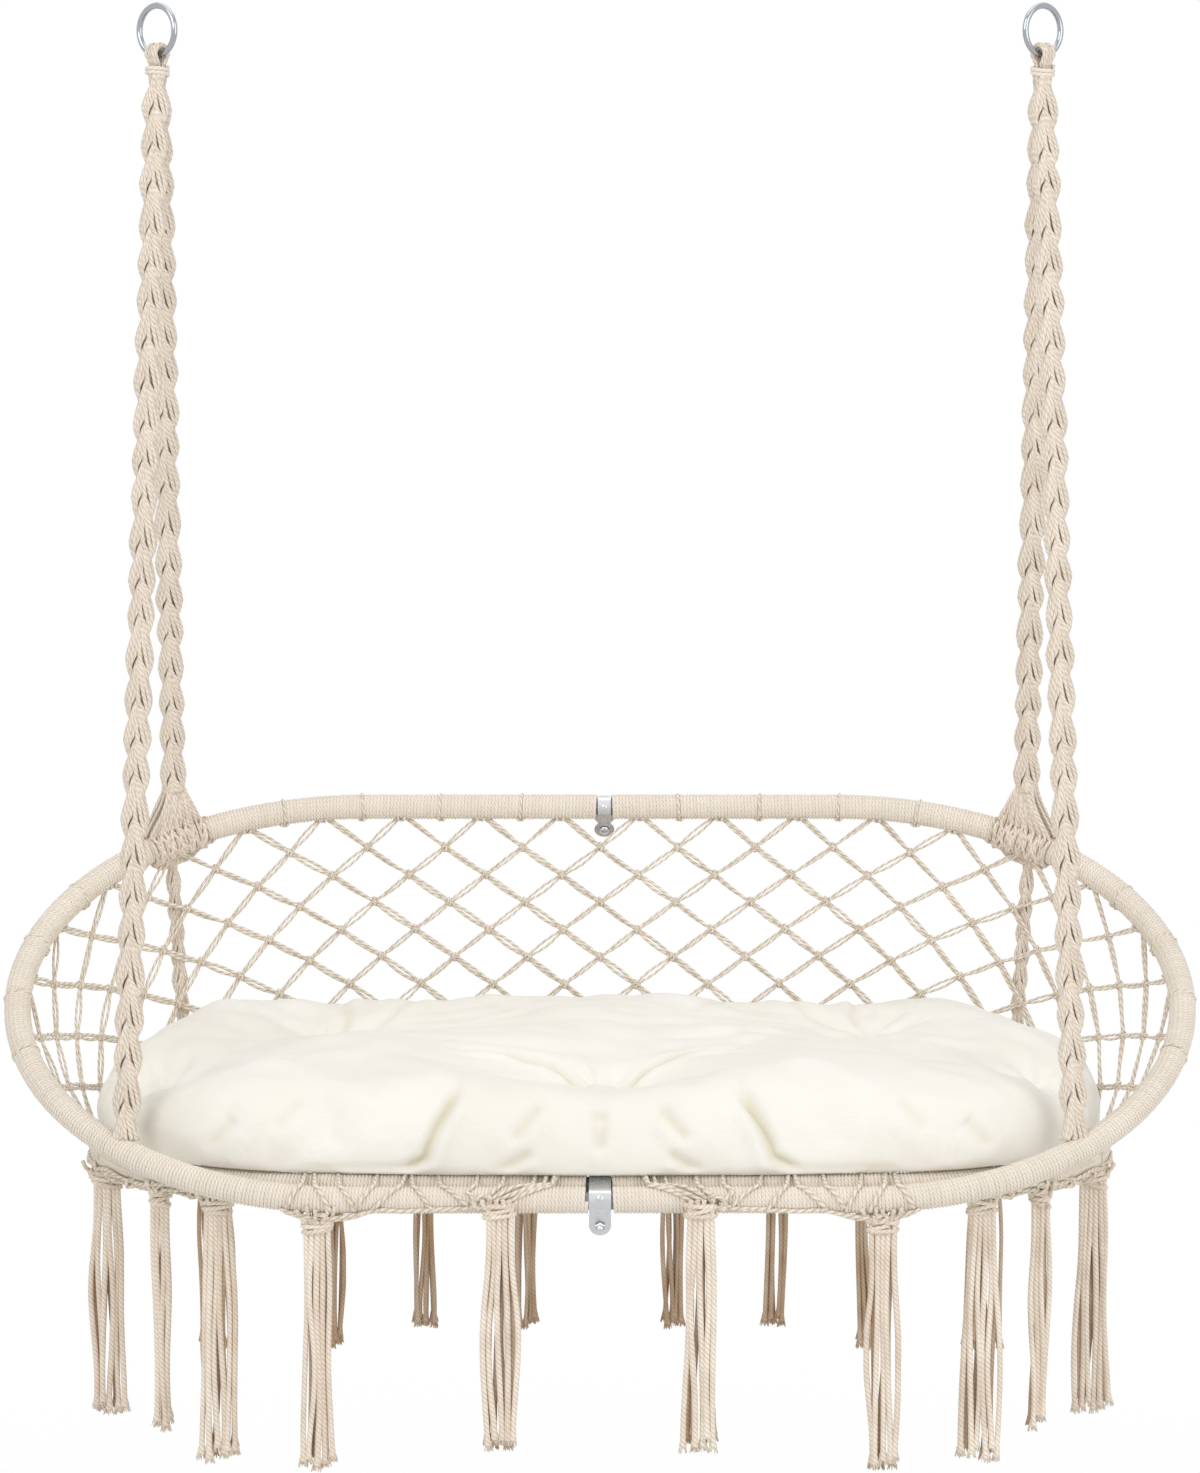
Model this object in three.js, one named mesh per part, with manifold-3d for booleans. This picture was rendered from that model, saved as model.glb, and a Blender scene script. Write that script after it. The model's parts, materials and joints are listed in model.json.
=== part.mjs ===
// Two-seat hanging hammock chair: cord-wrapped steel hoops, a knotted net, plaited ropes,
// a tufted cushion and a fringe of tassels. Millimetres, +Z up, -Y is the open front.
// The origin is midway between the two hook seats, the inner top of each hang ring.
import * as THREE from "three";
import { mergeVertices } from "three/addons/utils/BufferGeometryUtils.js";
import Module from "manifold-3d";

const wasm = await Module();
wasm.setup();

// Driving dimensions
const CLEARANCE = 0.3;
const OVERRUN = 5;
const TUBE_OUTER_RADIUS = 10;
const TUBE_WALL = 1.5;
const WRAP_THICKNESS = 3.7;
const WRAP_RADIUS = TUBE_OUTER_RADIUS + CLEARANCE + WRAP_THICKNESS;

const BACK_HOOP_STRAIGHT_HALF = 258.5;
const BACK_HOOP_END_REACH = 350;
const BACK_HOOP_HALF_DEPTH = 306;
const BACK_HOOP_TILT = THREE.MathUtils.degToRad(33);
const SEAT_HOOP_STRAIGHT_HALF = 258.5;
const SEAT_HOOP_END_REACH = 262.5;
const SEAT_HOOP_HALF_DEPTH = 230;
const HOOP_GAP = 1.1;
const HOOP_REST_ANGLE = THREE.MathUtils.degToRad(16);

const RING_WIRE_RADIUS = 3.25;
const RING_CENTRE_RADIUS = 25.25;
const RING_TURN = THREE.MathUtils.degToRad(40);
const RING_HALF_SPACING = 454.6;
const RING_ABOVE_SEAT = 1156;
const HANG_BEHIND_SEAT_MIDDLE = 12;

const EYE_HALF_WIDTH = 8;
const EYE_WALL = 2.4;
const EYE_FLARE = 5;
const EYE_WAIST_SHARE = 0.3;
const NECK_RADIUS = 10.5;
const NECK_TOP = 7;
const NECK_LENGTH = 22;
const NECK_CROWN_SHARE = 0.55;
const NECK_RISE_SHARE = 0.45;
const BINDING_CORD_RADIUS = 1.9;
const BINDING_TURNS = 2;
const BINDING_TURN_GAP = 0.5;

const ROPE_WIDTH = 24;
const ROPE_THICKNESS = 15;
const ROPE_GAP = 0.6;
const ROPE_REACH_SHARE = 0.785;
const BACK_ROPE_REACH_SHARE = 0.758;
const BRAID_WIDTH = 16;
const BRAID_THICKNESS = 11;
const BRAID_REACH_SHARE = 0.845;
const BRAID_STAND_OFF = 5;

const BRACKET_STEEL = 2;
const BRACKET_WIDTH = 22;
const BRACKET_STRAP_WIDTH = 14;
const BRACKET_DROP = 23;
const BACK_BRACKET_OFFSET = 4.7;
const TUBE_JOINT_OFFSET = -4;
const TUBE_JOINT_GAP = 0.6;
const SPLICE_LENGTH = 90;
const SPLICE_WALL = 1.5;
const BOLT_RADIUS = 2.5;
const BOLT_HEAD_RADIUS = 5;
const BOLT_HEAD_HEIGHT = 2.8;
const BOLT_CROWN_SHARE = 0.9;
const BOLT_RIM_SHARE = 0.35;
const SCREW_RADIUS = 1.8;
const SCREW_HEAD_RADIUS = 3.6;
const SCREW_HEAD_HEIGHT = 1.8;
const SCREW_LENGTH = 3.8;
const SCREW_ANGLE = THREE.MathUtils.degToRad(35);
const NUT_RADIUS = 5.4;
const NUT_HEX_HEIGHT = 4.2;
const NUT_DOME_SHARE = 0.8;

const NET_HALF_COLUMN = 43.4;
const NET_HALF_ROW = 30;
const NET_CORD_WIDTH = 7;
const NET_CORD_THICKNESS = 5;
const NET_KNOT_SIZE = 10;
const NET_LEAST_DROP = 80;
const LAST_KNOT_FIT_SHARE = 0.45;
const SEAT_NET_HALF_COLUMN = 62;
const SEAT_NET_HALF_ROW = 45;
const SEAT_NET_SAG = 26;

const CUSHION_END_OVERHANG = 3;
const CUSHION_DEPTH_INSET = 4;
const CUSHION_EDGE_HEIGHT = 74;
const CUSHION_CROWN = 24;
const CUSHION_BACK_RISE = 30;
const CUSHION_TUFT_DEPTH = 26;
const CUSHION_TUFT_SPREAD = 48;
const CUSHION_SIDE_DRAW = 9;
const CUSHION_FOLD_SHARE = 0.34;
const CROWN_POWER = 3;

// Places of the tassels for each half of the fringe, as shares of their hoop's half length
const FRONT_TASSEL_REACH_SHARES = [0.164, 0.463, 0.739, 0.858, 0.981];
const BACK_TASSEL_REACH_SHARES = [0.154, 0.369, 0.56, 0.802];
const TASSEL_LENGTH = 245;
const TASSEL_WIDTH = 42;
const TASSEL_THICKNESS = 17;
const TASSEL_KNOT_WIDTH = 26;
const TASSEL_KNOT_HEIGHT = 20;
const TASSEL_TOP_SHARE = 0.7;
const TASSEL_PINCH_SHARE = 0.85;
const TASSEL_DROP_SHARES = [0.3, 0.7, 1];
const TASSEL_SPREAD_SHARES = [0.92, 1, 0.9];
const TASSEL_DEPTH_SHARES = [1, 1.1, 1];
const FAN_HEIGHT = 72;
const FAN_WIDTH = 68;
const FAN_WRAP = 4;
const FAN_NECK_SHARE = 0.6;
const FAN_FLARE_SHARE = 0.25;
const FAN_FLARE_WIDTH_SHARE = 0.8;

// Counts of facets and steps
const TUBE_SIDES = 6;
const WRAP_SIDES = 10;
const HOOP_STEPS = 13;
const ROUND_SIDES = 9;
const RING_WIRE_SIDES = 8;
const RING_STEPS = 24;
const ROPE_SIDES = 10;
const TASSEL_SIDES = 8;
const BEND_STEPS = 3;
const LOBE_STEPS = 6;
const BINDING_STEPS = 14;
const BINDING_SIDES = 5;
const BISECTIONS = 40;

// Shares and tolerances of the shape code
const ROPE_STOP_SHARES = [0, 0.02, 0.35, 0.7, 1];
const STEEP_SHARE = 0.9;
const MERGE_DISTANCE = 1e-4;
const ON_LINE = 1e-9;

const RING_DROP = RING_CENTRE_RADIUS - RING_WIRE_RADIUS;
const SEAT_BELOW_HOOKS = RING_ABOVE_SEAT + RING_DROP;

const vec = (x, y, z) => new THREE.Vector3(x, y, z);
const mix = (a, b, t) => a + (b - a) * t;

// Materials, one per node, from the finishes below
const FINISH = {
  chrome: { color: 0xc9ccd0, roughness: 0.12, metalness: 1 },
  zinc: { color: 0xb9bcbf, roughness: 0.35, metalness: 1 },
  cord: { color: 0xe6dfd3, roughness: 0.9, metalness: 0 },
  rope: { color: 0xe0d5c6, roughness: 0.9, metalness: 0 },
  tassel: { color: 0xdccbb5, roughness: 0.95, metalness: 0 },
  canvas: { color: 0xf5f3ee, roughness: 0.85, metalness: 0 },
  tube: { color: 0x8d9093, roughness: 0.5, metalness: 1 },
};

function addPart(parent, name, geometry, finish) {
  const mesh = new THREE.Mesh(geometry, new THREE.MeshStandardMaterial(FINISH[finish]));
  mesh.name = name;
  parent.add(mesh);
  return mesh;
}

// Solids and booleans
function merged(geometry) {
  const bare = geometry.clone();
  for (const name of ["normal", "uv"])
    if (bare.hasAttribute(name)) bare.deleteAttribute(name);
  return mergeVertices(bare, MERGE_DISTANCE);
}

function solid(geometry) {
  const clean = merged(geometry);
  return new wasm.Manifold(
    new wasm.Mesh({
      numProp: 3,
      vertProperties: new Float32Array(clean.getAttribute("position").array),
      triVerts: new Uint32Array(clean.getIndex().array),
    }),
  );
}

function toGeometry(body) {
  const mesh = body.getMesh();
  const geometry = new THREE.BufferGeometry();
  geometry.setAttribute("position", new THREE.BufferAttribute(mesh.vertProperties, 3));
  geometry.setIndex(new THREE.BufferAttribute(mesh.triVerts, 1));
  geometry.computeVertexNormals();
  return geometry;
}

function union(...geometries) {
  return toGeometry(geometries.map(solid).reduce((all, one) => all.add(one)));
}

function cut(geometry, ...cutters) {
  return toGeometry(cutters.map(solid).reduce((all, one) => all.subtract(one), solid(geometry)));
}

function common(a, b) {
  return toGeometry(solid(a).intersect(solid(b)));
}

// Closed skin through rings of equal point counts, with a fan at each end
function loft(rings) {
  const count = rings[0].length;
  const positions = [];
  for (const ring of rings) for (const p of ring) positions.push(p.x, p.y, p.z);
  const index = [];
  for (let r = 0; r + 1 < rings.length; r++)
    for (let i = 0; i < count; i++) {
      const a = r * count + i;
      const b = r * count + ((i + 1) % count);
      index.push(a, b, b + count, a, b + count, a + count);
    }
  for (const [ring, base] of [[rings[0], 0], [rings.at(-1), (rings.length - 1) * count]]) {
    const middle = ring.reduce((sum, p) => sum.add(p), vec(0, 0, 0)).divideScalar(count);
    const centre = positions.length / 3;
    positions.push(middle.x, middle.y, middle.z);
    for (let i = 0; i < count; i++) {
      const j = (i + 1) % count;
      if (base === 0) index.push(centre, base + j, base + i);
      else index.push(centre, base + i, base + j);
    }
  }
  return facingOut(positions, index);
}

function facingOut(positions, index) {
  let volume = 0;
  const at = (i) => vec(positions[3 * i], positions[3 * i + 1], positions[3 * i + 2]);
  for (let t = 0; t < index.length; t += 3)
    volume += at(index[t]).dot(at(index[t + 1]).cross(at(index[t + 2])));
  if (volume < 0)
    for (let t = 0; t < index.length; t += 3)
      [index[t + 1], index[t + 2]] = [index[t + 2], index[t + 1]];
  const geometry = new THREE.BufferGeometry();
  geometry.setAttribute("position", new THREE.Float32BufferAttribute(positions, 3));
  geometry.setIndex(index);
  geometry.computeVertexNormals();
  return geometry;
}

// Ring of points round a centre, in the plane of two directions
function ellipse(centre, across, along, count, turn = 0) {
  return Array.from({ length: count }, (_, i) => {
    const angle = turn + (i / count) * 2 * Math.PI;
    return centre
      .clone()
      .addScaledVector(across, Math.cos(angle))
      .addScaledVector(along, Math.sin(angle));
  });
}

function cylinder(radius, length, sides = ROUND_SIDES) {
  return new THREE.CylinderGeometry(radius, radius, length, sides);
}

// A hoop lies in its own plane: u runs along the seat, v from front to back, n is its normal
class Hoop {
  constructor(straight, reach, halfDepth, tilt, centre) {
    Object.assign(this, { straight, reach, halfDepth, tilt, centre });
    this.points = this.halfOutline();
  }

  // Right half, from the middle of the front to the middle of the back
  halfOutline() {
    const points = [[0, -this.halfDepth]];
    for (let i = 0; i <= HOOP_STEPS; i++) {
      const angle = Math.PI * (i / HOOP_STEPS) - Math.PI / 2;
      points.push([
        this.straight + this.reach * Math.cos(angle),
        this.halfDepth * Math.sin(angle),
      ]);
    }
    points.push([0, this.halfDepth]);
    return points;
  }

  place(u, v, n = 0) {
    return vec(u, v, n).applyAxisAngle(vec(1, 0, 0), this.tilt).add(this.centre);
  }

  turn(direction) {
    return direction.clone().applyAxisAngle(vec(1, 0, 0), this.tilt);
  }

  // Point and tangent on the faceted outline, by distance from the middle of the back
  walk(distance) {
    const side = Math.sign(distance) || 1;
    let left = Math.abs(distance);
    const line = [...this.points].reverse();
    for (let i = 0; i + 1 < line.length; i++) {
      const [a, b] = [line[i], line[i + 1]];
      const length = Math.hypot(b[0] - a[0], b[1] - a[1]);
      if (left <= length || i + 2 === line.length) {
        const t = left / length;
        const u = side * mix(a[0], b[0], t);
        const along = vec(side * (b[0] - a[0]), b[1] - a[1], 0).normalize();
        return {
          at: this.place(u, mix(a[1], b[1], t)),
          along: this.turn(along).multiplyScalar(side),
        };
      }
      left -= length;
    }
  }

  // Furthest reach of the centre line along the seat
  get end() {
    return this.straight + this.reach;
  }

  get halfLength() {
    let sum = 0;
    for (let i = 0; i + 1 < this.points.length; i++) {
      const [a, b] = [this.points[i], this.points[i + 1]];
      sum += Math.hypot(b[0] - a[0], b[1] - a[1]);
    }
    return sum;
  }

  // Point and tangent at a place along the seat, on the front or the back run
  atReach(u, back) {
    const x = Math.abs(u);
    for (let i = 0; i + 1 < this.points.length; i++) {
      const [a, b] = [this.points[i], this.points[i + 1]];
      const onRun = back ? a[1] >= -ON_LINE && b[1] > 0 : b[1] <= ON_LINE;
      const low = Math.min(a[0], b[0]);
      const high = Math.max(a[0], b[0]);
      if (onRun && x >= low && x <= high && high > low) {
        const t = (x - a[0]) / (b[0] - a[0]);
        const side = Math.sign(u) || 1;
        const along = vec(side * (b[0] - a[0]), b[1] - a[1], 0).normalize();
        if (along.x < 0) along.negate();
        return {
          at: this.place(u, mix(a[1], b[1], t)),
          along: this.turn(along),
          u,
          v: mix(a[1], b[1], t),
        };
      }
    }
    throw new Error("no hoop at " + u);
  }
}

const seatHoop = new Hoop(
  SEAT_HOOP_STRAIGHT_HALF,
  SEAT_HOOP_END_REACH,
  SEAT_HOOP_HALF_DEPTH,
  0,
  vec(0, 0, 0),
);
const HOOP_SPACING = 2 * WRAP_RADIUS + HOOP_GAP;
const backHoop = new Hoop(
  BACK_HOOP_STRAIGHT_HALF,
  BACK_HOOP_END_REACH,
  BACK_HOOP_HALF_DEPTH,
  BACK_HOOP_TILT,
  vec(
    0,
    BACK_HOOP_HALF_DEPTH * Math.cos(BACK_HOOP_TILT) -
      SEAT_HOOP_HALF_DEPTH -
      HOOP_SPACING * Math.cos(HOOP_REST_ANGLE),
    BACK_HOOP_HALF_DEPTH * Math.sin(BACK_HOOP_TILT) - HOOP_SPACING * Math.sin(HOOP_REST_ANGLE),
  ),
);

// Hollow tube along half a hoop, in the hoop's plane, open at both ends
function halfTube(hoop, side, frontStart, backStart, outerRadius, innerRadius, sides) {
  const line = hoop.points.map(([u, v]) => vec(side * u, v, 0));
  line[0].x = frontStart;
  line.at(-1).x = backStart;
  const rings = (radius) =>
    line.map((p, i) => {
      const before = line[Math.max(i - 1, 0)];
      const after = line[Math.min(i + 1, line.length - 1)];
      const tangent = after.clone().sub(before).normalize();
      const outward = vec(tangent.y, -tangent.x, 0);
      const half = Math.PI / sides;
      return ellipse(p, outward.multiplyScalar(radius), vec(0, 0, radius), sides, half);
    });
  return hollowLoft(rings(outerRadius), rings(innerRadius));
}

function hollowLoft(outer, inner) {
  const count = outer[0].length;
  const positions = [];
  const index = [];
  const all = [...outer, ...[...inner].reverse()];
  for (const ring of all) for (const p of ring) positions.push(p.x, p.y, p.z);
  for (let r = 0; r < all.length; r++)
    for (let i = 0; i < count; i++) {
      const next = (r + 1) % all.length;
      const j = (i + 1) % count;
      const [a, b, c, d] = [r * count + i, r * count + j, next * count + j, next * count + i];
      index.push(a, b, c, a, c, d);
    }
  return facingOut(positions, index);
}

const chair = new THREE.Group();
const seat = new THREE.Group();
seat.position.set(0, -HANG_BEHIND_SEAT_MIDDLE, -SEAT_BELOW_HOOKS);
chair.add(seat);

function hoopGroup(hoop) {
  const group = new THREE.Group();
  group.position.copy(hoop.centre);
  group.rotation.x = hoop.tilt;
  seat.add(group);
  return group;
}

// Cylinder across the hoop's plane direction, for bolt and screw holes
function rod(radius, length, from, direction, sides = ROUND_SIDES) {
  const geometry = cylinder(radius, length, sides);
  const turn = new THREE.Quaternion().setFromUnitVectors(vec(0, 1, 0), direction);
  geometry.applyQuaternion(turn);
  const middle = from.clone().addScaledVector(direction, length / 2);
  geometry.translate(middle.x, middle.y, middle.z);
  return geometry;
}

// Frame: two half tubes a hoop, butted over an inner sleeve, each with its cord wrapping
const frontHalfBracket = BRACKET_WIDTH / 2 + CLEARANCE;
const backHalfBracket = BRACKET_STRAP_WIDTH / 2 + CLEARANCE;

function buildHoop(hoop, name, backOffset, tubeScrews) {
  const group = hoopGroup(hoop);
  const bore = TUBE_OUTER_RADIUS - TUBE_WALL;
  for (const [side, label] of [[-1, "left"], [1, "right"]]) {
    const joint = TUBE_JOINT_OFFSET + (side * TUBE_JOINT_GAP) / 2;
    const tube = halfTube(hoop, side, joint, joint, TUBE_OUTER_RADIUS, bore, TUBE_SIDES);
    const holes = side > 0 ? tubeScrews : [];
    const drilled = holes.length ? cut(tube, ...holes.map((hole) => screwHole(hoop, hole))) : tube;
    addPart(group, `${name}_tube_${label}`, drilled, "tube");
    const wrap = halfTube(
      hoop,
      side,
      side * frontHalfBracket,
      backOffset + side * backHalfBracket,
      WRAP_RADIUS,
      (TUBE_OUTER_RADIUS + CLEARANCE) / Math.cos(Math.PI / WRAP_SIDES),
      WRAP_SIDES,
    );
    addPart(group, `${name}_wrap_${label}`, wrap, "cord");
  }
  for (const [end, label] of [[-1, "front"], [1, "back"]]) {
    const outer = bore - CLEARANCE;
    const rings = (radius) =>
      [-1, 1].map((way) =>
        ellipse(
          vec(TUBE_JOINT_OFFSET + (way * SPLICE_LENGTH) / 2, end * hoop.halfDepth, 0),
          vec(0, radius, 0),
          vec(0, 0, radius),
          TUBE_SIDES,
          Math.PI / TUBE_SIDES,
        ),
      );
    const sleeve = hollowLoft(rings(outer), rings(outer - SPLICE_WALL));
    addPart(group, `${name}_splice_${label}`, sleeve, "tube");
  }
  return group;
}

function screwHole(hoop, screw) {
  const back = (p) => p.clone().applyAxisAngle(vec(1, 0, 0), -hoop.tilt);
  const from = back(screw.at.clone().sub(hoop.centre));
  return rod(SCREW_RADIUS + CLEARANCE, WRAP_RADIUS, from, back(screw.direction), TUBE_SIDES);
}

// Screws point at the tube's axis, from the side of the bracket that shows
function screwPlace(tubeAxis, tilt, offset, outwardSign) {
  const outward = vec(0, outwardSign * Math.cos(SCREW_ANGLE), Math.sin(SCREW_ANGLE));
  outward.applyAxisAngle(vec(1, 0, 0), tilt);
  const at = tubeAxis.clone().add(vec(offset, 0, 0));
  return { at, direction: outward };
}

const frontAxis = backHoop.place(0, -BACK_HOOP_HALF_DEPTH);
const backAxis = backHoop.place(0, BACK_HOOP_HALF_DEPTH);
const rearAxis = seatHoop.place(0, SEAT_HOOP_HALF_DEPTH);
const screws = {
  front: screwPlace(frontAxis, HOOP_REST_ANGLE, 0, -1),
  back: screwPlace(backAxis, BACK_HOOP_TILT, BACK_BRACKET_OFFSET, -1),
};
buildHoop(backHoop, "back_hoop", BACK_BRACKET_OFFSET, [screws.front, screws.back]);
buildHoop(seatHoop, "seat_hoop", BACK_BRACKET_OFFSET, []);

// Folded strap over one or two tubes, its two legs bolted together below them
function strap(spacing, topWidth, holes) {
  const inner = TUBE_OUTER_RADIUS + CLEARANCE;
  const outer = inner + BRACKET_STEEL;
  const legEnd = BRACKET_DROP + BRACKET_WIDTH;
  const side = new THREE.Shape();
  side.moveTo(-outer, -legEnd);
  side.absarc(0, 0, outer, Math.PI, Math.PI / 2, true);
  side.absarc(spacing, 0, outer, Math.PI / 2, 0, true);
  side.lineTo(spacing + outer, -legEnd);
  side.lineTo(spacing + inner, -legEnd);
  side.absarc(spacing, 0, inner, 0, Math.PI / 2, false);
  side.absarc(0, 0, inner, Math.PI / 2, Math.PI, false);
  side.lineTo(-inner, -legEnd);
  const folded = new THREE.ExtrudeGeometry(side, {
    depth: BRACKET_WIDTH,
    bevelEnabled: false,
    curveSegments: BEND_STEPS,
  });
  folded.translate(0, 0, -BRACKET_WIDTH / 2);
  folded.applyMatrix4(new THREE.Matrix4().makeBasis(vec(0, 1, 0), vec(0, 0, 1), vec(1, 0, 0)));
  const face = new THREE.Shape();
  const lobe = BRACKET_WIDTH / 2;
  const meet = Math.sqrt(Math.max(lobe ** 2 - (topWidth / 2) ** 2, 0));
  const start = Math.atan2(meet, topWidth / 2);
  face.moveTo(-topWidth / 2, outer + OVERRUN);
  face.lineTo(-topWidth / 2, meet - BRACKET_DROP);
  face.absarc(0, -BRACKET_DROP, lobe, Math.PI - start, start, false);
  face.lineTo(topWidth / 2, outer + OVERRUN);
  const reach = spacing + 2 * outer + 2 * OVERRUN;
  const outline = new THREE.ExtrudeGeometry(face, {
    depth: reach,
    bevelEnabled: false,
    curveSegments: LOBE_STEPS,
  });
  outline.rotateX(Math.PI / 2);
  outline.translate(0, reach - outer - OVERRUN, 0);
  return cut(common(folded, outline), ...holes);
}

function latheAlong(profile, direction, at, sides = ROUND_SIDES) {
  const points = profile.map(([r, h]) => new THREE.Vector2(r, h));
  const geometry = new THREE.LatheGeometry(points, sides);
  const turn = new THREE.Quaternion().setFromUnitVectors(vec(0, 1, 0), direction);
  geometry.applyQuaternion(turn);
  geometry.translate(at.x, at.y, at.z);
  return geometry;
}

function buildBracket(name, axis, tilt, offset, spacing, topWidth, nutSign, screwSigns) {
  const group = new THREE.Group();
  group.position.copy(axis).add(vec(offset, 0, 0));
  group.rotation.x = tilt;
  seat.add(group);
  const outer = TUBE_OUTER_RADIUS + CLEARANCE + BRACKET_STEEL;
  const along = vec(0, nutSign, 0);
  const headFace = nutSign > 0 ? -outer : spacing + outer;
  const nutFace = nutSign > 0 ? spacing + outer : -outer;
  const boltHole = rod(
    BOLT_RADIUS + CLEARANCE,
    spacing + 2 * outer + 2 * OVERRUN,
    vec(0, headFace - nutSign * OVERRUN, -BRACKET_DROP),
    along,
  );
  const screwAt = screwSigns.map((sign) => ({
    from: vec(0, sign > 0 ? spacing : 0, 0),
    direction: vec(0, sign * Math.cos(SCREW_ANGLE), Math.sin(SCREW_ANGLE)),
  }));
  const screwHoles = screwAt.map(({ from, direction }) =>
    rod(SCREW_RADIUS + CLEARANCE, outer + OVERRUN, from, direction, TUBE_SIDES),
  );
  addPart(group, `${name}_bracket`, strap(spacing, topWidth, [boltHole, ...screwHoles]), "zinc");

  const grip = spacing + 2 * outer + CLEARANCE;
  const bolt = [
    [0, -BOLT_HEAD_HEIGHT - CLEARANCE],
    [BOLT_HEAD_RADIUS / 2, -BOLT_CROWN_SHARE * BOLT_HEAD_HEIGHT - CLEARANCE],
    [BOLT_HEAD_RADIUS, -BOLT_RIM_SHARE * BOLT_HEAD_HEIGHT - CLEARANCE],
    [BOLT_HEAD_RADIUS, -CLEARANCE],
    [BOLT_RADIUS, -CLEARANCE],
    [BOLT_RADIUS, grip + NUT_HEX_HEIGHT],
    [0, grip + NUT_HEX_HEIGHT],
  ];
  const headAt = vec(0, headFace, -BRACKET_DROP);
  addPart(group, `${name}_bolt`, latheAlong(bolt, along, headAt), "zinc");
  const nutAt = vec(0, nutFace + nutSign * CLEARANCE, -BRACKET_DROP);
  const hex = rod(NUT_RADIUS, NUT_HEX_HEIGHT, nutAt, along, 6);
  const dome = latheAlong(acornProfile(), along, nutAt);
  const bore = rod(
    BOLT_RADIUS + CLEARANCE,
    NUT_HEX_HEIGHT + 2 * CLEARANCE + OVERRUN,
    nutAt.clone().addScaledVector(along, -OVERRUN),
    along,
  );
  addPart(group, `${name}_acorn_nut`, cut(union(hex, dome), bore), "zinc");
  screwAt.forEach(({ from, direction }) => {
    const profile = [
      [0, -SCREW_LENGTH],
      [SCREW_RADIUS, -SCREW_LENGTH],
      [SCREW_RADIUS, CLEARANCE],
      [SCREW_HEAD_RADIUS, CLEARANCE],
      [SCREW_HEAD_RADIUS, CLEARANCE + SCREW_HEAD_HEIGHT / 2],
      [0, CLEARANCE + SCREW_HEAD_HEIGHT],
    ];
    const seatAt = from.clone().addScaledVector(direction, outer);
    addPart(group, `${name}_screw`, latheAlong(profile, direction, seatAt, TUBE_SIDES), "zinc");
  });
}

// Domed cap of an acorn nut, standing on its hexagon
function acornProfile() {
  const radius = NUT_DOME_SHARE * NUT_RADIUS;
  const steps = 4;
  const profile = [[0, NUT_HEX_HEIGHT / 2], [radius, NUT_HEX_HEIGHT / 2]];
  for (let i = 0; i <= steps; i++) {
    const angle = (i / steps) * (Math.PI / 2);
    profile.push([radius * Math.cos(angle), NUT_HEX_HEIGHT + radius * Math.sin(angle)]);
  }
  profile.at(-1)[0] = 0;
  return profile;
}

buildBracket("front", frontAxis, HOOP_REST_ANGLE, 0, HOOP_SPACING, BRACKET_WIDTH, -1, [-1]);
buildBracket("back", backAxis, BACK_HOOP_TILT, BACK_BRACKET_OFFSET, 0, BRACKET_STRAP_WIDTH, 1, [
  -1,
]);
buildBracket("rear", rearAxis, 0, BACK_BRACKET_OFFSET, 0, BRACKET_STRAP_WIDTH, 1, []);

// Round tube through points, closed at both ends
function sweep(points, radius, sides, turn = 0) {
  let across = null;
  const rings = points.map((p, i) => {
    const before = points[Math.max(i - 1, 0)];
    const after = points[Math.min(i + 1, points.length - 1)];
    const tangent = after.clone().sub(before).normalize();
    if (!across) across = Math.abs(tangent.z) > STEEP_SHARE ? vec(1, 0, 0) : vec(0, 0, 1);
    across = across.clone().addScaledVector(tangent, -across.dot(tangent)).normalize();
    const other = tangent.clone().cross(across);
    return ellipse(
      p,
      across.clone().multiplyScalar(radius),
      other.multiplyScalar(radius),
      sides,
      turn,
    );
  });
  return loft(rings);
}

// Solids that keep soft pieces clear of the wrapped hoops
function hoopLine(hoop) {
  const right = hoop.points.map(([u, v]) => hoop.place(u, v));
  const left = hoop.points.map(([u, v]) => hoop.place(-u, v));
  return { left, right };
}

function keepOut(hoop, grow) {
  const turn = Math.PI / WRAP_SIDES;
  const radius = (WRAP_RADIUS + grow) / Math.cos(turn);
  const lines = hoopLine(hoop);
  const bodies = [lines.left, lines.right].map((line) => {
    const first = line[0].clone();
    const last = line.at(-1).clone();
    first.x = Math.sign(line[1].x) * -OVERRUN;
    last.x = first.x;
    return solid(sweep([first, ...line.slice(1, -1), last], radius, WRAP_SIDES, turn));
  });
  return bodies[0].add(bodies[1]);
}

const clearOfBackHoop = keepOut(backHoop, CLEARANCE);
const clearOfSeatHoop = keepOut(seatHoop, CLEARANCE);

function clearOfHoops(geometry, ...more) {
  let body = solid(geometry).subtract(clearOfBackHoop).subtract(clearOfSeatHoop);
  for (const one of more) body = body.subtract(one);
  const pieces = body.decompose().sort((a, b) => b.volume() - a.volume());
  return toGeometry(pieces[0]);
}

// Suspension, in seat coordinates: rings, rope eyes with their bindings, ropes and braids
const suspension = new THREE.Group();
chair.add(suspension);
const WIRE_BELOW_HOOKS = RING_DROP + RING_CENTRE_RADIUS;

function fromHooks(point) {
  return point.clone().sub(seat.position);
}

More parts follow.
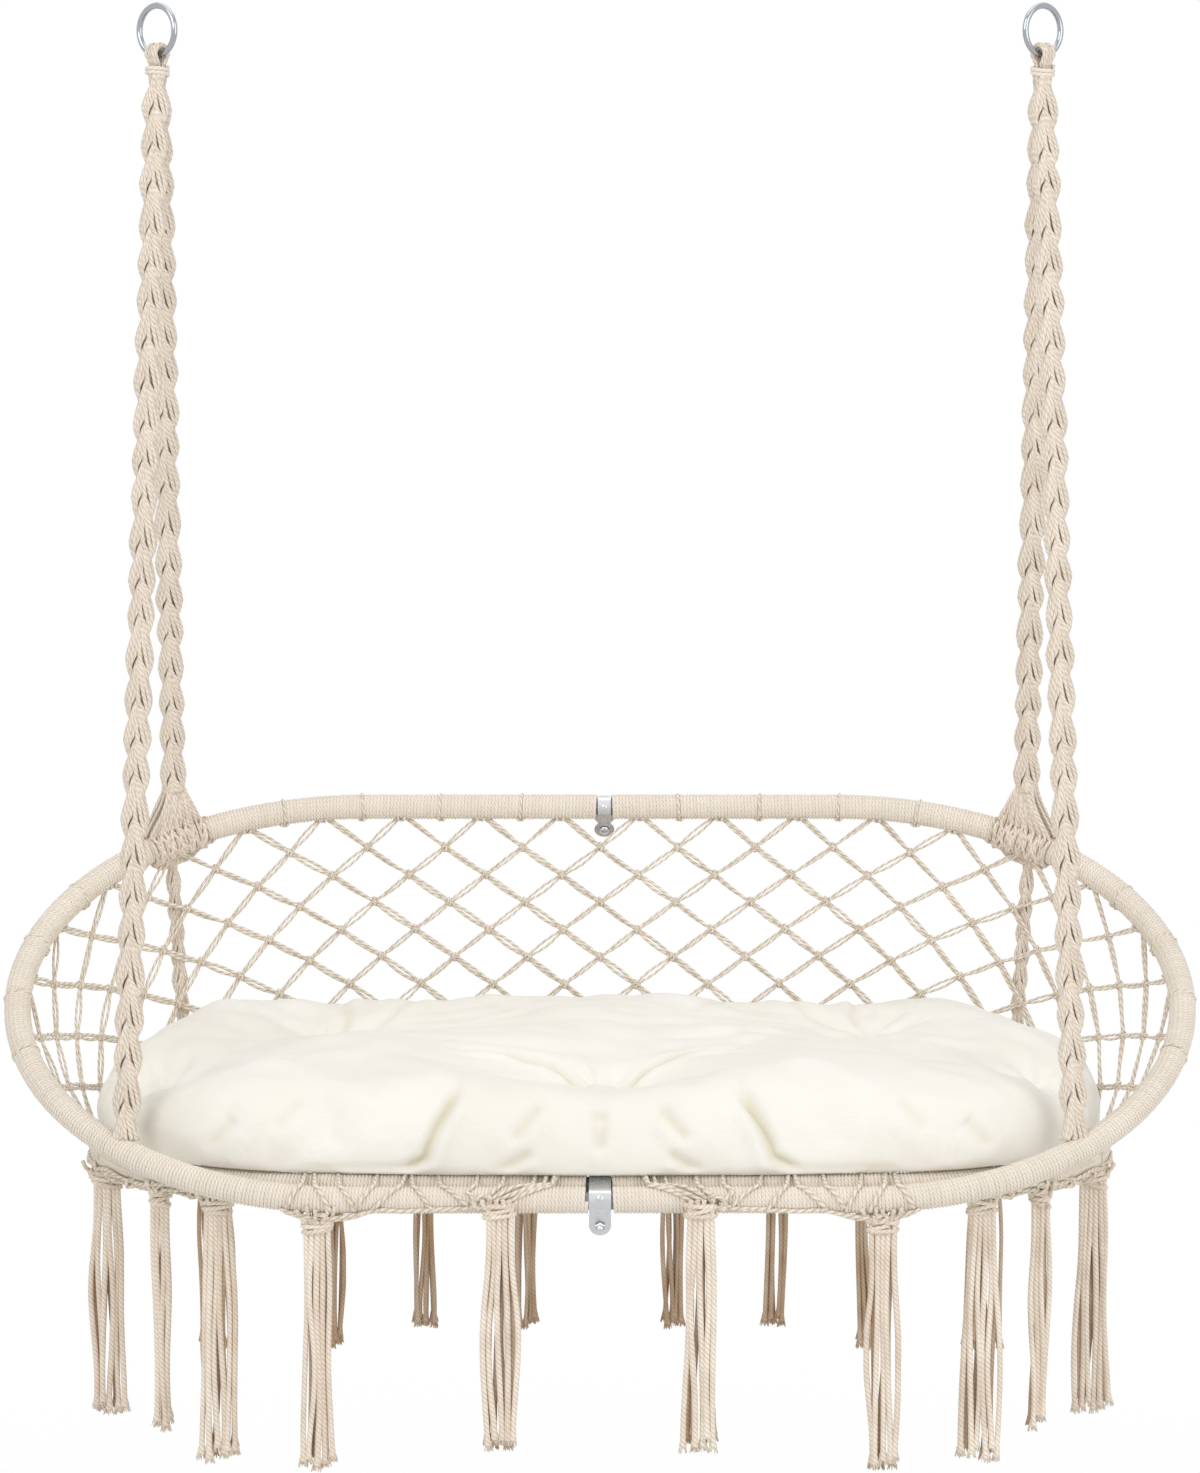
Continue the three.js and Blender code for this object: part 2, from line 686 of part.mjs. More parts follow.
function buildRingAndEye(side, label) {
  const ring = new THREE.TorusGeometry(
    RING_CENTRE_RADIUS,
    RING_WIRE_RADIUS,
    RING_WIRE_SIDES,
    RING_STEPS,
  );
  ring.rotateX(Math.PI / 2);
  ring.rotateZ(side * RING_TURN);
  ring.translate(side * RING_HALF_SPACING, 0, -RING_DROP);
  addPart(suspension, `${label}_hang_ring`, ring, "chrome");

  const throat = (RING_WIRE_RADIUS + CLEARANCE) / Math.cos(Math.PI / ROUND_SIDES);
  const wall = throat + EYE_WALL;
  const half = EYE_HALF_WIDTH;
  const outside = [
    [0, -half],
    [wall + EYE_FLARE, -half],
    [wall, -EYE_WAIST_SHARE * half],
    [wall, EYE_WAIST_SHARE * half],
    [wall + EYE_FLARE, half],
    [0, half],
  ];
  const over = half + OVERRUN;
  const flareOver = EYE_FLARE * (over / half);
  const hourglass = [
    [0, -over],
    [throat + flareOver, -over],
    [throat, 0],
    [throat + flareOver, over],
    [0, over],
  ];
  const wire = vec(Math.cos(side * RING_TURN), Math.sin(side * RING_TURN), 0);
  const origin = vec(0, 0, 0);
  const neckRings = [
    [NECK_CROWN_SHARE * NECK_RADIUS, -NECK_RISE_SHARE * NECK_TOP],
    [NECK_RADIUS, -NECK_TOP],
    [NECK_RADIUS, -NECK_LENGTH],
  ].map(([radius, z]) => ellipse(vec(0, 0, z), vec(radius, 0, 0), vec(0, radius, 0), ROUND_SIDES));
  const eye = cut(
    union(latheAlong(outside, wire, origin), loft(neckRings)),
    latheAlong(hourglass, wire, origin),
  );
  eye.translate(side * RING_HALF_SPACING, 0, -WIRE_BELOW_HOOKS);
  addPart(suspension, `${label}_rope_eye`, eye, "rope");
  addPart(suspension, `${label}_rope_binding`, bindingCoil(side), "cord");
}

// Cord wound round the neck: a steady helix with short straight ends
function bindingCoil(side) {
  const turnRadius = NECK_RADIUS + CLEARANCE + BINDING_CORD_RADIUS;
  const pitch = 2 * BINDING_CORD_RADIUS + BINDING_TURN_GAP;
  const points = [];
  const top = -NECK_TOP - 2 * BINDING_CORD_RADIUS;
  const steps = BINDING_TURNS * BINDING_STEPS;
  for (let i = 0; i <= steps; i++) {
    const angle = (i / BINDING_STEPS) * 2 * Math.PI;
    const z = top - (i / BINDING_STEPS) * pitch;
    points.push(vec(turnRadius * Math.cos(angle), turnRadius * Math.sin(angle), z));
  }
  let least = Infinity;
  points.forEach((p, i) => {
    for (let j = i + BINDING_STEPS / 2; j < points.length; j++)
      least = Math.min(least, p.distanceTo(points[j]) - 2 * BINDING_CORD_RADIUS);
  });
  console.log(`binding coil: least gap between turns ${least.toFixed(2)} mm`);
  const coil = sweep(points, BINDING_CORD_RADIUS, BINDING_SIDES);
  coil.translate(side * RING_HALF_SPACING, 0, -WIRE_BELOW_HOOKS);
  return coil;
}

// Flat plaited cord from one point to another, its width along the given direction
function flatCord(from, to, width, thickness, widthDirection, levelTop = false) {
  const along = to.clone().sub(from).normalize();
  const across = widthDirection.clone().addScaledVector(along, -widthDirection.dot(along));
  across.normalize();
  const through = along.clone().cross(across);
  const rings = ROPE_STOP_SHARES.map((t, i) => {
    const flat = levelTop && i === 0;
    const thick = flat ? vec(0, Math.sign(through.y), 0) : through;
    const wide = flat ? vec(across.x, 0, 0).normalize() : across;
    return ellipse(
      from.clone().lerp(to, t),
      wide.clone().multiplyScalar(width / 2),
      thick.clone().multiplyScalar(thickness / 2),
      ROPE_SIDES,
    );
  });
  return loft(rings);
}

const FAN_CLEAR = CLEARANCE + FAN_WRAP;
const clearOfFan = {};

function buildRopes(side, label) {
  const bottom = -WIRE_BELOW_HOOKS - NECK_LENGTH - CLEARANCE;
  const apart = (ROPE_THICKNESS + ROPE_GAP) / 2;
  const wide = vec(1, 0, 0);
  const frontTop = fromHooks(vec(side * RING_HALF_SPACING, -apart, bottom));
  const frontEnd = backHoop.atReach(side * ROPE_REACH_SHARE * backHoop.end, false).at;
  const front = flatCord(frontTop, frontEnd, ROPE_WIDTH, ROPE_THICKNESS, wide, true);
  addPart(seat, `front_${label}_rope`, clearOfHoops(front), "rope");

  const backTop = fromHooks(vec(side * RING_HALF_SPACING, apart, bottom));
  const hold = backHoop.atReach(side * BACK_ROPE_REACH_SHARE * backHoop.end, true);
  const down = hold.at.clone().sub(backTop).normalize();
  const backEnd = hold.at.clone().addScaledVector(down, -FAN_HEIGHT - CLEARANCE);
  const back = flatCord(backTop, backEnd, ROPE_WIDTH, ROPE_THICKNESS, wide, true);
  addPart(seat, `back_${label}_rope`, clearOfHoops(back), "rope");
  buildFan(side, label, hold, down);
}

// The cords of a back rope spread out and wrap the back hoop
function buildFan(side, label, hold, down) {
  const across = vec(1, 0, 0).addScaledVector(down, -down.x).normalize();
  const through = down.clone().cross(across);
  const section = (height, width, thickness) =>
    ellipse(
      hold.at.clone().addScaledVector(down, -height),
      across.clone().multiplyScalar(width / 2),
      through.clone().multiplyScalar(thickness / 2),
      ROPE_SIDES,
    );
  const spread = loft([
    section(FAN_HEIGHT, ROPE_WIDTH, ROPE_THICKNESS),
    section(FAN_NECK_SHARE * FAN_HEIGHT, ROPE_WIDTH, ROPE_THICKNESS),
    section(FAN_FLARE_SHARE * FAN_HEIGHT, FAN_FLARE_WIDTH_SHARE * FAN_WIDTH, ROPE_THICKNESS),
    section(0, FAN_WIDTH, ROPE_THICKNESS),
  ]);
  const half = FAN_WIDTH / 2;
  const distance = backHoopDistance(hold);
  const line = [-half, -half / 3, half / 3, half].map(
    (step) => backHoop.walk(side * (distance + step)).at,
  );
  const sleeve = sweep(line, WRAP_RADIUS + FAN_CLEAR, ROUND_SIDES);
  addPart(seat, `back_${label}_rope_fan`, clearOfHoops(union(spread, sleeve)), "rope");

  const start = hold.at;
  const end = seatHoop.atReach(side * BRAID_REACH_SHARE * seatHoop.end, true).at;
  const run = end.clone().sub(start).normalize();
  let outward = hold.along.clone().cross(run).normalize();
  if (outward.y < 0) outward = outward.negate();
  const shift = (NET_CORD_THICKNESS + BRAID_THICKNESS) / 2 + BRAID_STAND_OFF;
  const braid = flatCord(
    start.clone().addScaledVector(outward, shift),
    end.clone().addScaledVector(outward, shift),
    BRAID_WIDTH,
    BRAID_THICKNESS,
    hold.along,
  );
  const sleeveRoom = solid(sweep(line, WRAP_RADIUS + FAN_CLEAR + CLEARANCE, ROUND_SIDES));
  clearOfFan[label] = sleeveRoom;
  addPart(seat, `back_${label}_braid`, clearOfHoops(braid, sleeveRoom), "rope");
}

function backHoopDistance(hold) {
  let low = 0;
  let high = backHoop.halfLength / 2;
  for (let i = 0; i < BISECTIONS; i++) {
    const middle = (low + high) / 2;
    if (Math.abs(backHoop.walk(middle).at.x) < Math.abs(hold.u)) low = middle;
    else high = middle;
  }
  return low;
}

for (const [side, label] of [[-1, "left"], [1, "right"]]) {
  buildRingAndEye(side, label);
  buildRopes(side, label);
}

// A net is knots joined by cords. A knot has four corners, right, down, left and up, and a
// cord leaves between each two: right-down, down-left, left-up, up-right.
const WAYS = [[1, 1], [-1, 1], [-1, -1], [1, -1]];

class Net {
  constructor() {
    this.positions = [];
    this.index = [];
    this.knots = new Map();
  }

  point(p) {
    this.positions.push(p.x, p.y, p.z);
    return this.positions.length / 3 - 1;
  }

  quad(a, b, c, d) {
    this.index.push(a, b, c, a, c, d);
  }

  addKnot(key, corners, normal) {
    const lift = normal.clone().multiplyScalar(NET_CORD_THICKNESS / 2);
    const front = corners.map((c) => this.point(c.clone().add(lift)));
    const back = corners.map((c) => this.point(c.clone().sub(lift)));
    this.quad(...front);
    this.quad(...[...back].reverse());
    this.knots.set(key, { front, back, corners, used: [false, false, false, false], normal });
  }

  loopOf(knot, way) {
    const next = (way + 1) % 4;
    return [knot.front[way], knot.back[way], knot.back[next], knot.front[next]];
  }

  joinLoops(from, to) {
    for (let m = 0; m < 4; m++) {
      const n = (m + 1) % 4;
      this.quad(from[m], from[n], to[n], to[m]);
    }
  }

  link(keyA, way, keyB) {
    const a = this.knots.get(keyA);
    const b = this.knots.get(keyB);
    const far = (way + 2) % 4;
    const next = (far + 1) % 4;
    const to = [b.front[next], b.back[next], b.back[far], b.front[far]];
    this.joinLoops(this.loopOf(a, way), to);
    a.used[way] = true;
    b.used[far] = true;
  }

  end(key, way, place, tangent, width = NET_CORD_WIDTH) {
    const knot = this.knots.get(key);
    const next = (way + 1) % 4;
    const spread = knot.corners[way].clone().sub(knot.corners[next]);
    const half = tangent.clone().multiplyScalar((Math.sign(tangent.dot(spread)) * width) / 2);
    const lift = knot.normal.clone().multiplyScalar(NET_CORD_THICKNESS / 2);
    const [p, q] = [place.clone().add(half), place.clone().sub(half)];
    const to = [
      this.point(p.clone().add(lift)),
      this.point(p.clone().sub(lift)),
      this.point(q.clone().sub(lift)),
      this.point(q.clone().add(lift)),
    ];
    this.joinLoops(this.loopOf(knot, way), to);
    this.quad(...to);
    knot.used[way] = true;
  }

  close() {
    for (const knot of this.knots.values())
      knot.used.forEach((used, way) => {
        if (!used) this.quad(...this.loopOf(knot, way));
      });
    return facingOut(this.positions, this.index);
  }
}

function knotCorners(centre, right, down) {
  const half = NET_KNOT_SIZE / 2;
  return [
    centre.clone().addScaledVector(right, half),
    centre.clone().addScaledVector(down, half),
    centre.clone().addScaledVector(right, -half),
    centre.clone().addScaledVector(down, -half),
  ];
}

// The back net hangs from the back hoop to the seat hoop; columns are counted along the hoop
const netStart = WRAP_RADIUS + CLEARANCE;
const hoopShare = seatHoop.halfLength / backHoop.halfLength;

function netColumn(column) {
  const distance = column * NET_HALF_COLUMN;
  const high = backHoop.walk(distance);
  const low = seatHoop.walk(distance * hoopShare);
  const down = low.at.clone().sub(high.at);
  const drop = down.length();
  down.normalize();
  const square = (run) => down.clone().cross(run.along).length();
  return {
    high,
    low,
    down,
    drop,
    start: netStart / square(high),
    end: drop - netStart / square(low),
  };
}

function netPlace(column, depth) {
  const { high, low, down, drop } = netColumn(column);
  const t = depth / drop;
  const right = high.along.clone().lerp(low.along, t);
  right.addScaledVector(down, -right.dot(down)).normalize();
  const at = high.at.clone().addScaledVector(down, depth);
  return { at, right, down, normal: right.clone().cross(down) };
}

const rowDepth = (column, row) => netColumn(column).start + row * NET_HALF_ROW;
const lastFit = LAST_KNOT_FIT_SHARE * NET_HALF_ROW;

function netColumns() {
  let count = 0;
  const height = (column) => netColumn(column).end - netColumn(column).start;
  while (height(count + 1) > NET_LEAST_DROP) count++;
  return count;
}

function hasKnot(column, row, last) {
  if (row < 1 || Math.abs(column) > last || (column + row) % 2 === 0) return false;
  return rowDepth(column, row) <= netColumn(column).end - lastFit;
}

function buildBackNet() {
  const last = netColumns();
  const flat = Math.floor(BACK_HOOP_STRAIGHT_HALF / NET_HALF_COLUMN);
  const groupOf = (column) => (column < -flat ? "left" : column > flat ? "right" : "middle");
  const nets = { left: new Net(), middle: new Net(), right: new Net() };
  const rows = Math.ceil(netColumn(0).end / NET_HALF_ROW);
  const knots = [];
  for (let column = -last; column <= last; column++)
    for (let row = 1; row <= rows; row++)
      if (hasKnot(column, row, last)) knots.push([column, row]);
  for (const [column, row] of knots) {
    const { at, right, down, normal } = netPlace(column, rowDepth(column, row));
    nets[groupOf(column)].addKnot(`${column},${row}`, knotCorners(at, right, down), normal);
  }
  const short = 1 - (NET_CORD_WIDTH / 2 + 2 * CLEARANCE) / (NET_HALF_COLUMN * hoopShare);
  for (const [column, row] of knots) {
    const group = groupOf(column);
    const net = nets[group];
    WAYS.forEach(([across, lower], way) => {
      const other = [column + across, row + lower];
      if (Math.abs(other[0]) > last) return;
      const key = `${column},${row}`;
      if (hasKnot(...other, last)) {
        const farGroup = groupOf(other[0]);
        if (farGroup === group) {
          if (lower > 0) net.link(key, way, other.join());
        } else if (group !== "middle") {
          const far = netPlace(other[0], rowDepth(...other));
          const near = netPlace(column, rowDepth(column, row));
          const back = near.at.clone().sub(far.at).normalize();
          const face = (NET_KNOT_SIZE * Math.SQRT1_2) / 2 + 3 * CLEARANCE;
          const side = back.clone().cross(far.normal).normalize();
          net.end(key, way, far.at.clone().addScaledVector(back, face), side);
        }
        return;
      }
      if (lower < 0) {
        const reach = column + across * short;
        const place = netPlace(reach, netColumn(reach).start);
        net.end(key, way, place.at, netColumn(reach).high.along);
        return;
      }
      const room = (netColumn(column + across).end - rowDepth(column, row)) / NET_HALF_ROW;
      const reach = column + across * Math.min(room, short);
      const place = netPlace(reach, netColumn(reach).end);
      net.end(key, way, place.at, netColumn(reach).low.along);
    });
  }
  addPart(seat, "back_net", nets.middle.close(), "cord");
  addPart(seat, "left_side_net", clearOfHoops(nets.left.close(), clearOfFan.left), "cord");
  addPart(seat, "right_side_net", clearOfHoops(nets.right.close(), clearOfFan.right), "cord");
}

// Distance in plan from a place inside the seat hoop to its centre line, and the run there
function toSeatHoop(x, y) {
  let best = { distance: Infinity };
  for (const side of [-1, 1])
    for (let i = 0; i + 1 < seatHoop.points.length; i++) {
      const [a, b] = [seatHoop.points[i], seatHoop.points[i + 1]];
      const [ax, bx] = [side * a[0], side * b[0]];
      const run = [bx - ax, b[1] - a[1]];
      const square = run[0] ** 2 + run[1] ** 2;
      const t = THREE.MathUtils.clamp(((x - ax) * run[0] + (y - a[1]) * run[1]) / square, 0, 1);
      const distance = Math.hypot(x - ax - t * run[0], y - a[1] - t * run[1]);
      if (distance < best.distance)
        best = { distance, along: vec(run[0], run[1], 0).normalize() };
    }
  return best;
}

function seatSag(x, y) {
  const { distance } = toSeatHoop(x, y);
  const t = THREE.MathUtils.clamp((distance - netStart) / (SEAT_HOOP_HALF_DEPTH / 2), 0, 1);
  return -SEAT_NET_SAG * t * (2 - t);
}

function buildSeatNet() {
  const net = new Net();
  const columns = Math.floor(seatHoop.end / SEAT_NET_HALF_COLUMN);
  const rows = Math.floor(SEAT_HOOP_HALF_DEPTH / SEAT_NET_HALF_ROW);
  const at = (column, row) => {
    const x = column * SEAT_NET_HALF_COLUMN;
    const y = row * SEAT_NET_HALF_ROW;
    return vec(x, y, seatSag(x, y));
  };
  const inside = (column, row) => {
    const p = at(column, row);
    const ellipseEnd = Math.max(Math.abs(p.x) - SEAT_HOOP_STRAIGHT_HALF, 0) / SEAT_HOOP_END_REACH;
    const within = Math.hypot(ellipseEnd, p.y / SEAT_HOOP_HALF_DEPTH) < 1;
    return within && toSeatHoop(p.x, p.y).distance > netStart + NET_KNOT_SIZE;
  };
  const knots = [];
  for (let column = -columns; column <= columns; column++)
    for (let row = -rows; row <= rows; row++)
      if ((column + row) % 2 === 0 && inside(column, row)) knots.push([column, row]);
  for (const [column, row] of knots)
    net.addKnot(
      `${column},${row}`,
      knotCorners(at(column, row), vec(1, 0, 0), vec(0, 1, 0)),
      vec(0, 0, 1),
    );
  for (const [column, row] of knots)
    WAYS.forEach(([across, along], way) => {
      const [nextColumn, nextRow] = [column + across, row + along];
      if (inside(nextColumn, nextRow)) {
        if (along > 0) net.link(`${column},${row}`, way, `${nextColumn},${nextRow}`);
        return;
      }
      const from = at(column, row);
      const run = vec(across * SEAT_NET_HALF_COLUMN, along * SEAT_NET_HALF_ROW, 0).normalize();
      const place = from.clone();
      while (toSeatHoop(place.x, place.y).distance > netStart) place.addScaledVector(run, CLEARANCE);
      place.z = 0;
      net.end(`${column},${row}`, way, place, toSeatHoop(place.x, place.y).along);
    });
  addPart(seat, "seat_net", clearOfHoops(net.close()), "cord");
}

// Cushion: rings inset from its rounded outline, over the underside, up the side, to the crown
const CUSHION_HALF_LENGTH = seatHoop.end + CUSHION_END_OVERHANG;
const CUSHION_HALF_DEPTH = SEAT_HOOP_HALF_DEPTH - CUSHION_DEPTH_INSET;
const UNDER_INSET_SHARES = [0.93, 0.62, 0.34, 0.17, 0.06];
const SIDE_HEIGHT_SHARES = [0.22, 0.55, 0.84];
const SIDE_INSET_SHARES = [0.005, 0, 0.02];
const TOP_INSET_SHARES = [0.07, 0.15, 0.26, 0.38, 0.52, 0.68, 0.84, 0.95];

// Tufts are placed as shares of the half length and the half depth
const TUFT_PLACE_SHARES = [[0, -0.62], [-0.55, 0.3], [0.55, 0.3], [-0.86, -0.35], [0.86, -0.35]];

// The outline has the seat hoop's straights, with an elliptical end at each side
const CUSHION_STRAIGHT_POINTS = 8;
const CUSHION_END_POINTS = 12;
const CUSHION_RING_POINTS = 2 * (CUSHION_STRAIGHT_POINTS + CUSHION_END_POINTS);

// The underside follows the seat net, and rises to clear the wrapped hoop
const cushionRest = WRAP_RADIUS + 2 * CLEARANCE;

// Straight cords between knots lie this much above the sagging surface of the net
const cordSpan = Math.hypot(SEAT_NET_HALF_COLUMN, SEAT_NET_HALF_ROW);
const cordRise = SEAT_NET_SAG * (cordSpan / SEAT_HOOP_HALF_DEPTH) ** 2;

function cushionPoint(place, inset) {
  const reach = CUSHION_HALF_LENGTH - SEAT_HOOP_STRAIGHT_HALF - inset;
  const depth = CUSHION_HALF_DEPTH - inset;
  const half = CUSHION_RING_POINTS / 2;
  const side = place < half ? 1 : -1;
  const step = place % half;
  if (step < CUSHION_STRAIGHT_POINTS) {
    const run = step / CUSHION_STRAIGHT_POINTS;
    return [side * mix(-SEAT_HOOP_STRAIGHT_HALF, SEAT_HOOP_STRAIGHT_HALF, run), -side * depth];
  }
  const turned = (step - CUSHION_STRAIGHT_POINTS) / CUSHION_END_POINTS;
  const angle = Math.PI * turned - Math.PI / 2;
  const x = SEAT_HOOP_STRAIGHT_HALF + reach * Math.cos(angle);
  return [side * x, side * depth * Math.sin(angle)];
}

function cushionTop(x, y, insetShare) {
  const crown = 1 - (1 - insetShare) ** CROWN_POWER;
  const rise = (CUSHION_BACK_RISE * (y / CUSHION_HALF_DEPTH + 1)) / 2;
  let dip = 0;
  for (const [px, py] of TUFT_PLACE_SHARES) {
    const off = Math.hypot(x - px * CUSHION_HALF_LENGTH, y - py * CUSHION_HALF_DEPTH);
    dip = Math.max(dip, CUSHION_TUFT_DEPTH * Math.exp(-((off / CUSHION_TUFT_SPREAD) ** 2)));
  }
  return cushionRest + CUSHION_EDGE_HEIGHT + crown * CUSHION_CROWN + rise - dip;
}

function cushionUnder(x, y) {
  const { distance } = toSeatHoop(x, y);
  const net = seatSag(x, y) + NET_CORD_THICKNESS / 2 + cordRise + CLEARANCE;
  const reach = WRAP_RADIUS + 3 * CLEARANCE;
  const ramp = (3 * reach - distance) / (2 * reach);
  return Math.max(net, mix(net, cushionRest, THREE.MathUtils.clamp(ramp, 0, 1)));
}

function buildCushion() {
  const places = Array.from({ length: CUSHION_RING_POINTS }, (_, i) => i);
  const draw = (x) => {
    const middle = Math.exp(-((x / CUSHION_TUFT_SPREAD) ** 2));
    const sides = Math.abs(x) - CUSHION_FOLD_SHARE * CUSHION_HALF_LENGTH;
    return CUSHION_SIDE_DRAW * Math.max(middle, Math.exp(-((sides / CUSHION_TUFT_SPREAD) ** 2)));
  };
  const ring = (insetShare, height) =>
    places.map((place) => {
      const [x0] = cushionPoint(place, 0);
      const drawn = insetShare * CUSHION_HALF_DEPTH + draw(x0) * (1 - insetShare);
      const [x, y] = cushionPoint(place, drawn);
      return vec(x, y, height(x, y));
    });
  const rings = [
    ...UNDER_INSET_SHARES.map((inset) => ring(inset, cushionUnder)),
    ...SIDE_HEIGHT_SHARES.map((part, i) =>
      ring(SIDE_INSET_SHARES[i], (x, y) => mix(cushionRest, cushionTop(x, y, 0), part)),
    ),
    ...TOP_INSET_SHARES.map((inset) => ring(inset, (x, y) => cushionTop(x, y, inset))),
  ];
  addPart(seat, "seat_cushion", loft(rings), "canvas");
}

// Tassels: a knot drawn up under the hoop, and a skirt of loose cord ends
function tasselSolid(hold, lengthShare, widthShare, shift) {
  const width = widthShare * TASSEL_WIDTH;
  const knot = Math.min(TASSEL_KNOT_WIDTH, width);
  const across = vec(1, 0, 0);
  const through = vec(0, 1, 0);
  const sections = [
    [0, TASSEL_TOP_SHARE * knot, TASSEL_TOP_SHARE * TASSEL_THICKNESS],
    [-WRAP_RADIUS, knot, TASSEL_THICKNESS],
    [-WRAP_RADIUS - TASSEL_KNOT_HEIGHT, TASSEL_PINCH_SHARE * knot, TASSEL_THICKNESS],
    ...TASSEL_DROP_SHARES.map((drop, i) => [
      -WRAP_RADIUS - drop * lengthShare * TASSEL_LENGTH,
      TASSEL_SPREAD_SHARES[i] * width,
      TASSEL_DEPTH_SHARES[i] * TASSEL_THICKNESS,
    ]),
  ];
  return loft(
    sections.map(([z, wide, thick]) =>
      ellipse(
        hold.at.clone().add(vec(0, shift, z)),
        across.clone().multiplyScalar(wide / 2),
        through.clone().multiplyScalar(thick / 2),
        TASSEL_SIDES,
      ),
    ),
  );
}

const FRONT_TASSEL_LENGTH_SHARES = [0.97, 1.07, 1.12, 1.03, 1.06];
const FRONT_TASSEL_WIDTH_SHARES = [1.05, 0.9, 1.12, 0.62, 1.05];
const BACK_TASSEL_LENGTH_SHARES = [0.96, 0.96, 1.05, 1.02];
const BACK_TASSEL_WIDTH_SHARES = [0.7, 0.7, 0.62, 1.2];

// The first tassels from the middle hang from the back hoop's front run
const BACK_HOOP_TASSELS = 2;

function buildFringe() {
  for (const [side, label] of [[-1, "left"], [1, "right"]]) {
    FRONT_TASSEL_REACH_SHARES.forEach((reachShare, i) => {
      const hoop = i < BACK_HOOP_TASSELS ? backHoop : seatHoop;
      const hold = hoop.atReach(side * reachShare * hoop.end, false);
      const shift = i === 0 ? -WRAP_RADIUS : 0;
      const tassel = tasselSolid(
        hold,
        FRONT_TASSEL_LENGTH_SHARES[i],
        FRONT_TASSEL_WIDTH_SHARES[i],
        shift,
      );
      addPart(seat, `front_${label}_tassel_${i + 1}`, clearOfHoops(tassel), "tassel");
    });
    BACK_TASSEL_REACH_SHARES.forEach((reachShare, i) => {
      const hold = seatHoop.atReach(side * reachShare * seatHoop.end, true);
      const tassel = tasselSolid(
        hold,
        BACK_TASSEL_LENGTH_SHARES[i],
        BACK_TASSEL_WIDTH_SHARES[i],
        0,
      );
      addPart(seat, `back_${label}_tassel_${i + 1}`, clearOfHoops(tassel), "tassel");
    });
  }
}

buildBackNet();
buildSeatNet();
buildCushion();
buildFringe();
export default chair;
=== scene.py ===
"""Looks of a two-seat hanging hammock chair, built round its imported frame.

The chair hangs from two rings by four plaited ropes. Two cord-wrapped hoops carry a knotted
net, a tufted cushion and a fringe of tassels. Metres, +Z up, -Y is the open front.
"""

from __future__ import annotations

import json
import logging
import math
import random
from dataclasses import dataclass, field
from enum import Enum

import bpy
import numpy as np
from mathutils import Matrix, Vector

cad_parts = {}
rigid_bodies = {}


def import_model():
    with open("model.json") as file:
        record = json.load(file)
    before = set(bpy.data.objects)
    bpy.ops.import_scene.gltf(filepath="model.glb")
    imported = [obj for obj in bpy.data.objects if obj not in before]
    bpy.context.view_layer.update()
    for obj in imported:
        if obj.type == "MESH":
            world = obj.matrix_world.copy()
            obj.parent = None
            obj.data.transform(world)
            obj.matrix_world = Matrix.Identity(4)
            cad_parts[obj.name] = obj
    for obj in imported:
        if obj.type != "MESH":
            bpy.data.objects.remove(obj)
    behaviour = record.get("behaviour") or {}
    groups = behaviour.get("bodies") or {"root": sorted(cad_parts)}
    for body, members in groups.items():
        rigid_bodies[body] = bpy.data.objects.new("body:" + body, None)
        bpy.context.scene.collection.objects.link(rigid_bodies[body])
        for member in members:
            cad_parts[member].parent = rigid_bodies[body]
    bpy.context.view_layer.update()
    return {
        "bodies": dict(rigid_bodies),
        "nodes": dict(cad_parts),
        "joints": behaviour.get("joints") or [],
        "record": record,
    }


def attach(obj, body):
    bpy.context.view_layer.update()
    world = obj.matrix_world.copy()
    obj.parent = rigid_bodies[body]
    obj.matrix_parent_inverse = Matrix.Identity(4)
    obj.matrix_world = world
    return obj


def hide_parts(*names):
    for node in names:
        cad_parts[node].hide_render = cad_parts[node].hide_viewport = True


LOG = logging.getLogger("hammock_chair")
MM = 0.001
SEED = 11
SIDES = ((-1, "left"), (1, "right"))
ANY_ANGLE = 6.28
SEAT_ORIGIN = np.array([0.0, -12.0, -1178.0]) * MM
WRAP_RADIUS = 14.0 * MM
STRAIGHT_MM = 258.5
RIGHT = np.array([1.0, 0.0, 0.0])
BACKWARDS = np.array([0.0, 1.0, 0.0])
UP = np.array([0.0, 0.0, 1.0])

Array = np.ndarray
FanEnds = tuple[float, Array, Array]
Piece = bpy.types.Object
Socket = bpy.types.NodeSocket


class Body(Enum):
    """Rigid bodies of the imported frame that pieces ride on."""

    RINGS = "hang_rings"
    SEAT = "swing_seat"
    CUSHION = "cushion"


class Slot(Enum):
    """Material slots of the record."""

    RING = "ring_steel"
    BRACKET = "bracket_zinc"
    TUBE = "tube_steel"
    WRAP = "wrap_cord"
    NET = "net_cord"
    ROPE = "rope_cotton"
    TASSEL = "tassel_cord"
    CUSHION = "cushion_canvas"


def linear(code: str) -> tuple[float, float, float, float]:
    """Turns an sRGB hex colour into linear RGBA.

    Args:
        code: Six hex digits.

    Returns:
        Linear red, green, blue and an alpha of one.
    """
    values = [int(code[i : i + 2], 16) / 255 for i in (0, 2, 4)]
    turned = [v / 12.92 if v <= 0.04045 else ((v + 0.055) / 1.055) ** 2.4 for v in values]
    return (turned[0], turned[1], turned[2], 1.0)


def unit(v: Array) -> Array:
    """Scales vectors to length one along their last axis."""
    return v / np.maximum(np.linalg.norm(v, axis=-1, keepdims=True), 1e-12)


def smooth(t: float | Array) -> float | Array:
    """Eases 0 to 1 with level ends."""
    t = np.clip(t, 0.0, 1.0)
    return t * t * (3 - 2 * t)


